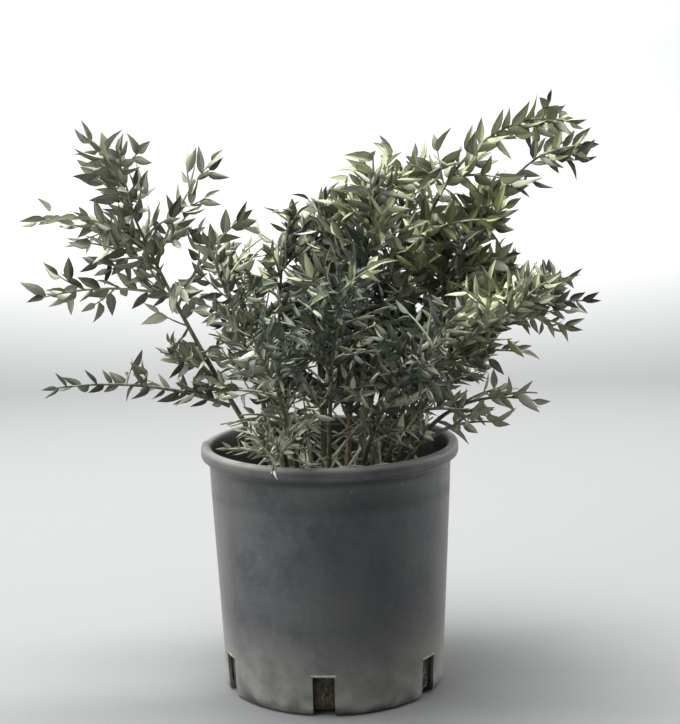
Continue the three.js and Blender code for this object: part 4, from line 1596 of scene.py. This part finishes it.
def crumb_tree():
    """Crumbs of bark, scattered over the soil's top, each turned and sized at random."""
    tree = node_tree("bark crumbs", [
        ("Density", "NodeSocketFloat"), ("Crumb", "NodeSocketObject"), ("Finish", "NodeSocketMaterial"),
    ])
    inputs = add_node(tree, "NodeGroupInput", {}).outputs
    normal = add_node(tree, "GeometryNodeInputNormal", {}).outputs["Normal"]
    upward = add_node(tree, "ShaderNodeSeparateXYZ", {"Vector": normal}).outputs["Z"]
    on_top = add_node(tree, "FunctionNodeCompare", {0: upward, 1: 0.7}, operation="GREATER_THAN")
    points = add_node(tree, "GeometryNodeDistributePointsOnFaces", {
        "Mesh": inputs["Geometry"],
        "Selection": on_top.outputs[0],
        "Density": inputs["Density"],
        "Seed": SEEDS["crumb_places"],
    })
    toned = add_node(tree, "GeometryNodeStoreNamedAttribute", {
        "Geometry": points.outputs["Points"],
        "Name": "tone",
        "Value": at_random(tree, "FLOAT", 0.0, 1.0, SEEDS["crumb_tones"]),
    }, data_type="FLOAT", domain="POINT")
    form = add_node(tree, "GeometryNodeObjectInfo", {"Object": inputs["Crumb"]})
    any_turn = at_random(tree, "FLOAT_VECTOR", (0, 0, 0), (6.28, 6.28, 6.28), SEEDS["crumb_turns"])
    any_size = at_random(tree, "FLOAT_VECTOR", (0.5, 0.4, 0.3), (1.9, 1.2, 0.9), SEEDS["crumb_sizes"])
    placed = add_node(tree, "GeometryNodeInstanceOnPoints", {
        "Points": toned.outputs["Geometry"],
        "Instance": form.outputs["Geometry"],
        "Rotation": any_turn,
        "Scale": any_size,
    })
    finish_tree(tree, placed.outputs["Instances"], inputs["Finish"])
    return tree


def crumb_form():
    """A rough lump, the hull of a ball's twelve even points, each pushed in or out."""
    golden = (1 + math.sqrt(5)) / 2
    corners = []
    for a in (-1, 1):
        for b in (-golden, golden):
            corners += [(0, a, b), (a, b, 0), (b, 0, a)]
    rng = np.random.default_rng(SEEDS["crumb_form"])
    shape = bmesh.new()
    for corner in corners:
        point = Vector(corner).normalized() * (CRUMB["size"] / 2) * rng.uniform(0.75, 1.2)
        shape.verts.new(point * MM)
    bmesh.ops.convex_hull(shape, input=shape.verts)
    hull = bpy.data.meshes.new("crumb")
    shape.to_mesh(hull)
    shape.free()
    return put("crumb", hull)


def make_crumbs(soil):
    """Crumbs all over the soil's top."""
    source = put("soil_crumbs", soil.data.copy())
    form = crumb_form()
    values = {"Density": CRUMB["density"], "Crumb": form, "Finish": crumb_finish()}
    crumbs = run_tree("soil_crumbs", source, crumb_tree(), values)
    bpy.data.objects.remove(form)
    return crumbs


def make_roots(tree):
    """Root threads that show in the drain openings."""
    rng = np.random.default_rng(SEEDS["roots"])
    count = ROOTS["steps"]
    half_width = ROOTS["half_width"]
    lines = []
    for heading in drain_headings():
        for _ in range(ROOTS["count"]):
            across = np.linspace(-half_width, half_width, count) * rng.uniform(0.7, 1)
            middle = rng.uniform(5, 17)
            rise = rng.uniform(-12, 12)
            height = middle + rise * np.linspace(-0.5, 0.5, count) + rng.normal(0, 0.35, count)
            bulge = ROOTS["bulge"] * np.sin(np.linspace(0, math.pi, count))
            radius = ROOTS["radius"] + bulge + rng.uniform(0, 0.5)
            turn = heading + across / POT["base_radius"]
            height = np.clip(height, ROOTS["lowest"], ROOTS["highest"])
            points = np.column_stack([radius * np.cos(turn), radius * np.sin(turn), height])
            thickness = rng.uniform(ROOTS["thinnest"], ROOTS["thickest"])
            lines.append((points, np.full(count, thickness)))
    return swept("root_threads", lines, tree, "root", root_finish())


# The whole plant


make_camera()
make_lights()
make_floor()

stem_paths, leafy_twigs = grow()
foliage_nodes = [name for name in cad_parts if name.startswith("foliage_")]

skin_tree = twig_tree()
green_stem = stem_finish("green stem", srgb(66, 70, 55), srgb(116, 119, 96))
bare_pieces = make_bare_stems(stem_paths, skin_tree, green_stem)
leafy_pieces = make_twigs(leafy_twigs, skin_tree, green_stem)
for piece in bare_pieces + leafy_pieces:
    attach(piece, "root")
for piece in leafy_pieces:
    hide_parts(*foliage_nodes)

for piece in make_leaves(leafy_twigs):
    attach(piece, "root")
    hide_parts(*foliage_nodes)

for piece in (make_pot(), make_lips()):
    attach(piece, "root")

soil_piece = make_soil()
for piece in (soil_piece, make_crumbs(soil_piece), make_roots(skin_tree)):
    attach(piece, "root")

bpy.context.scene.view_settings.view_transform = "Standard"
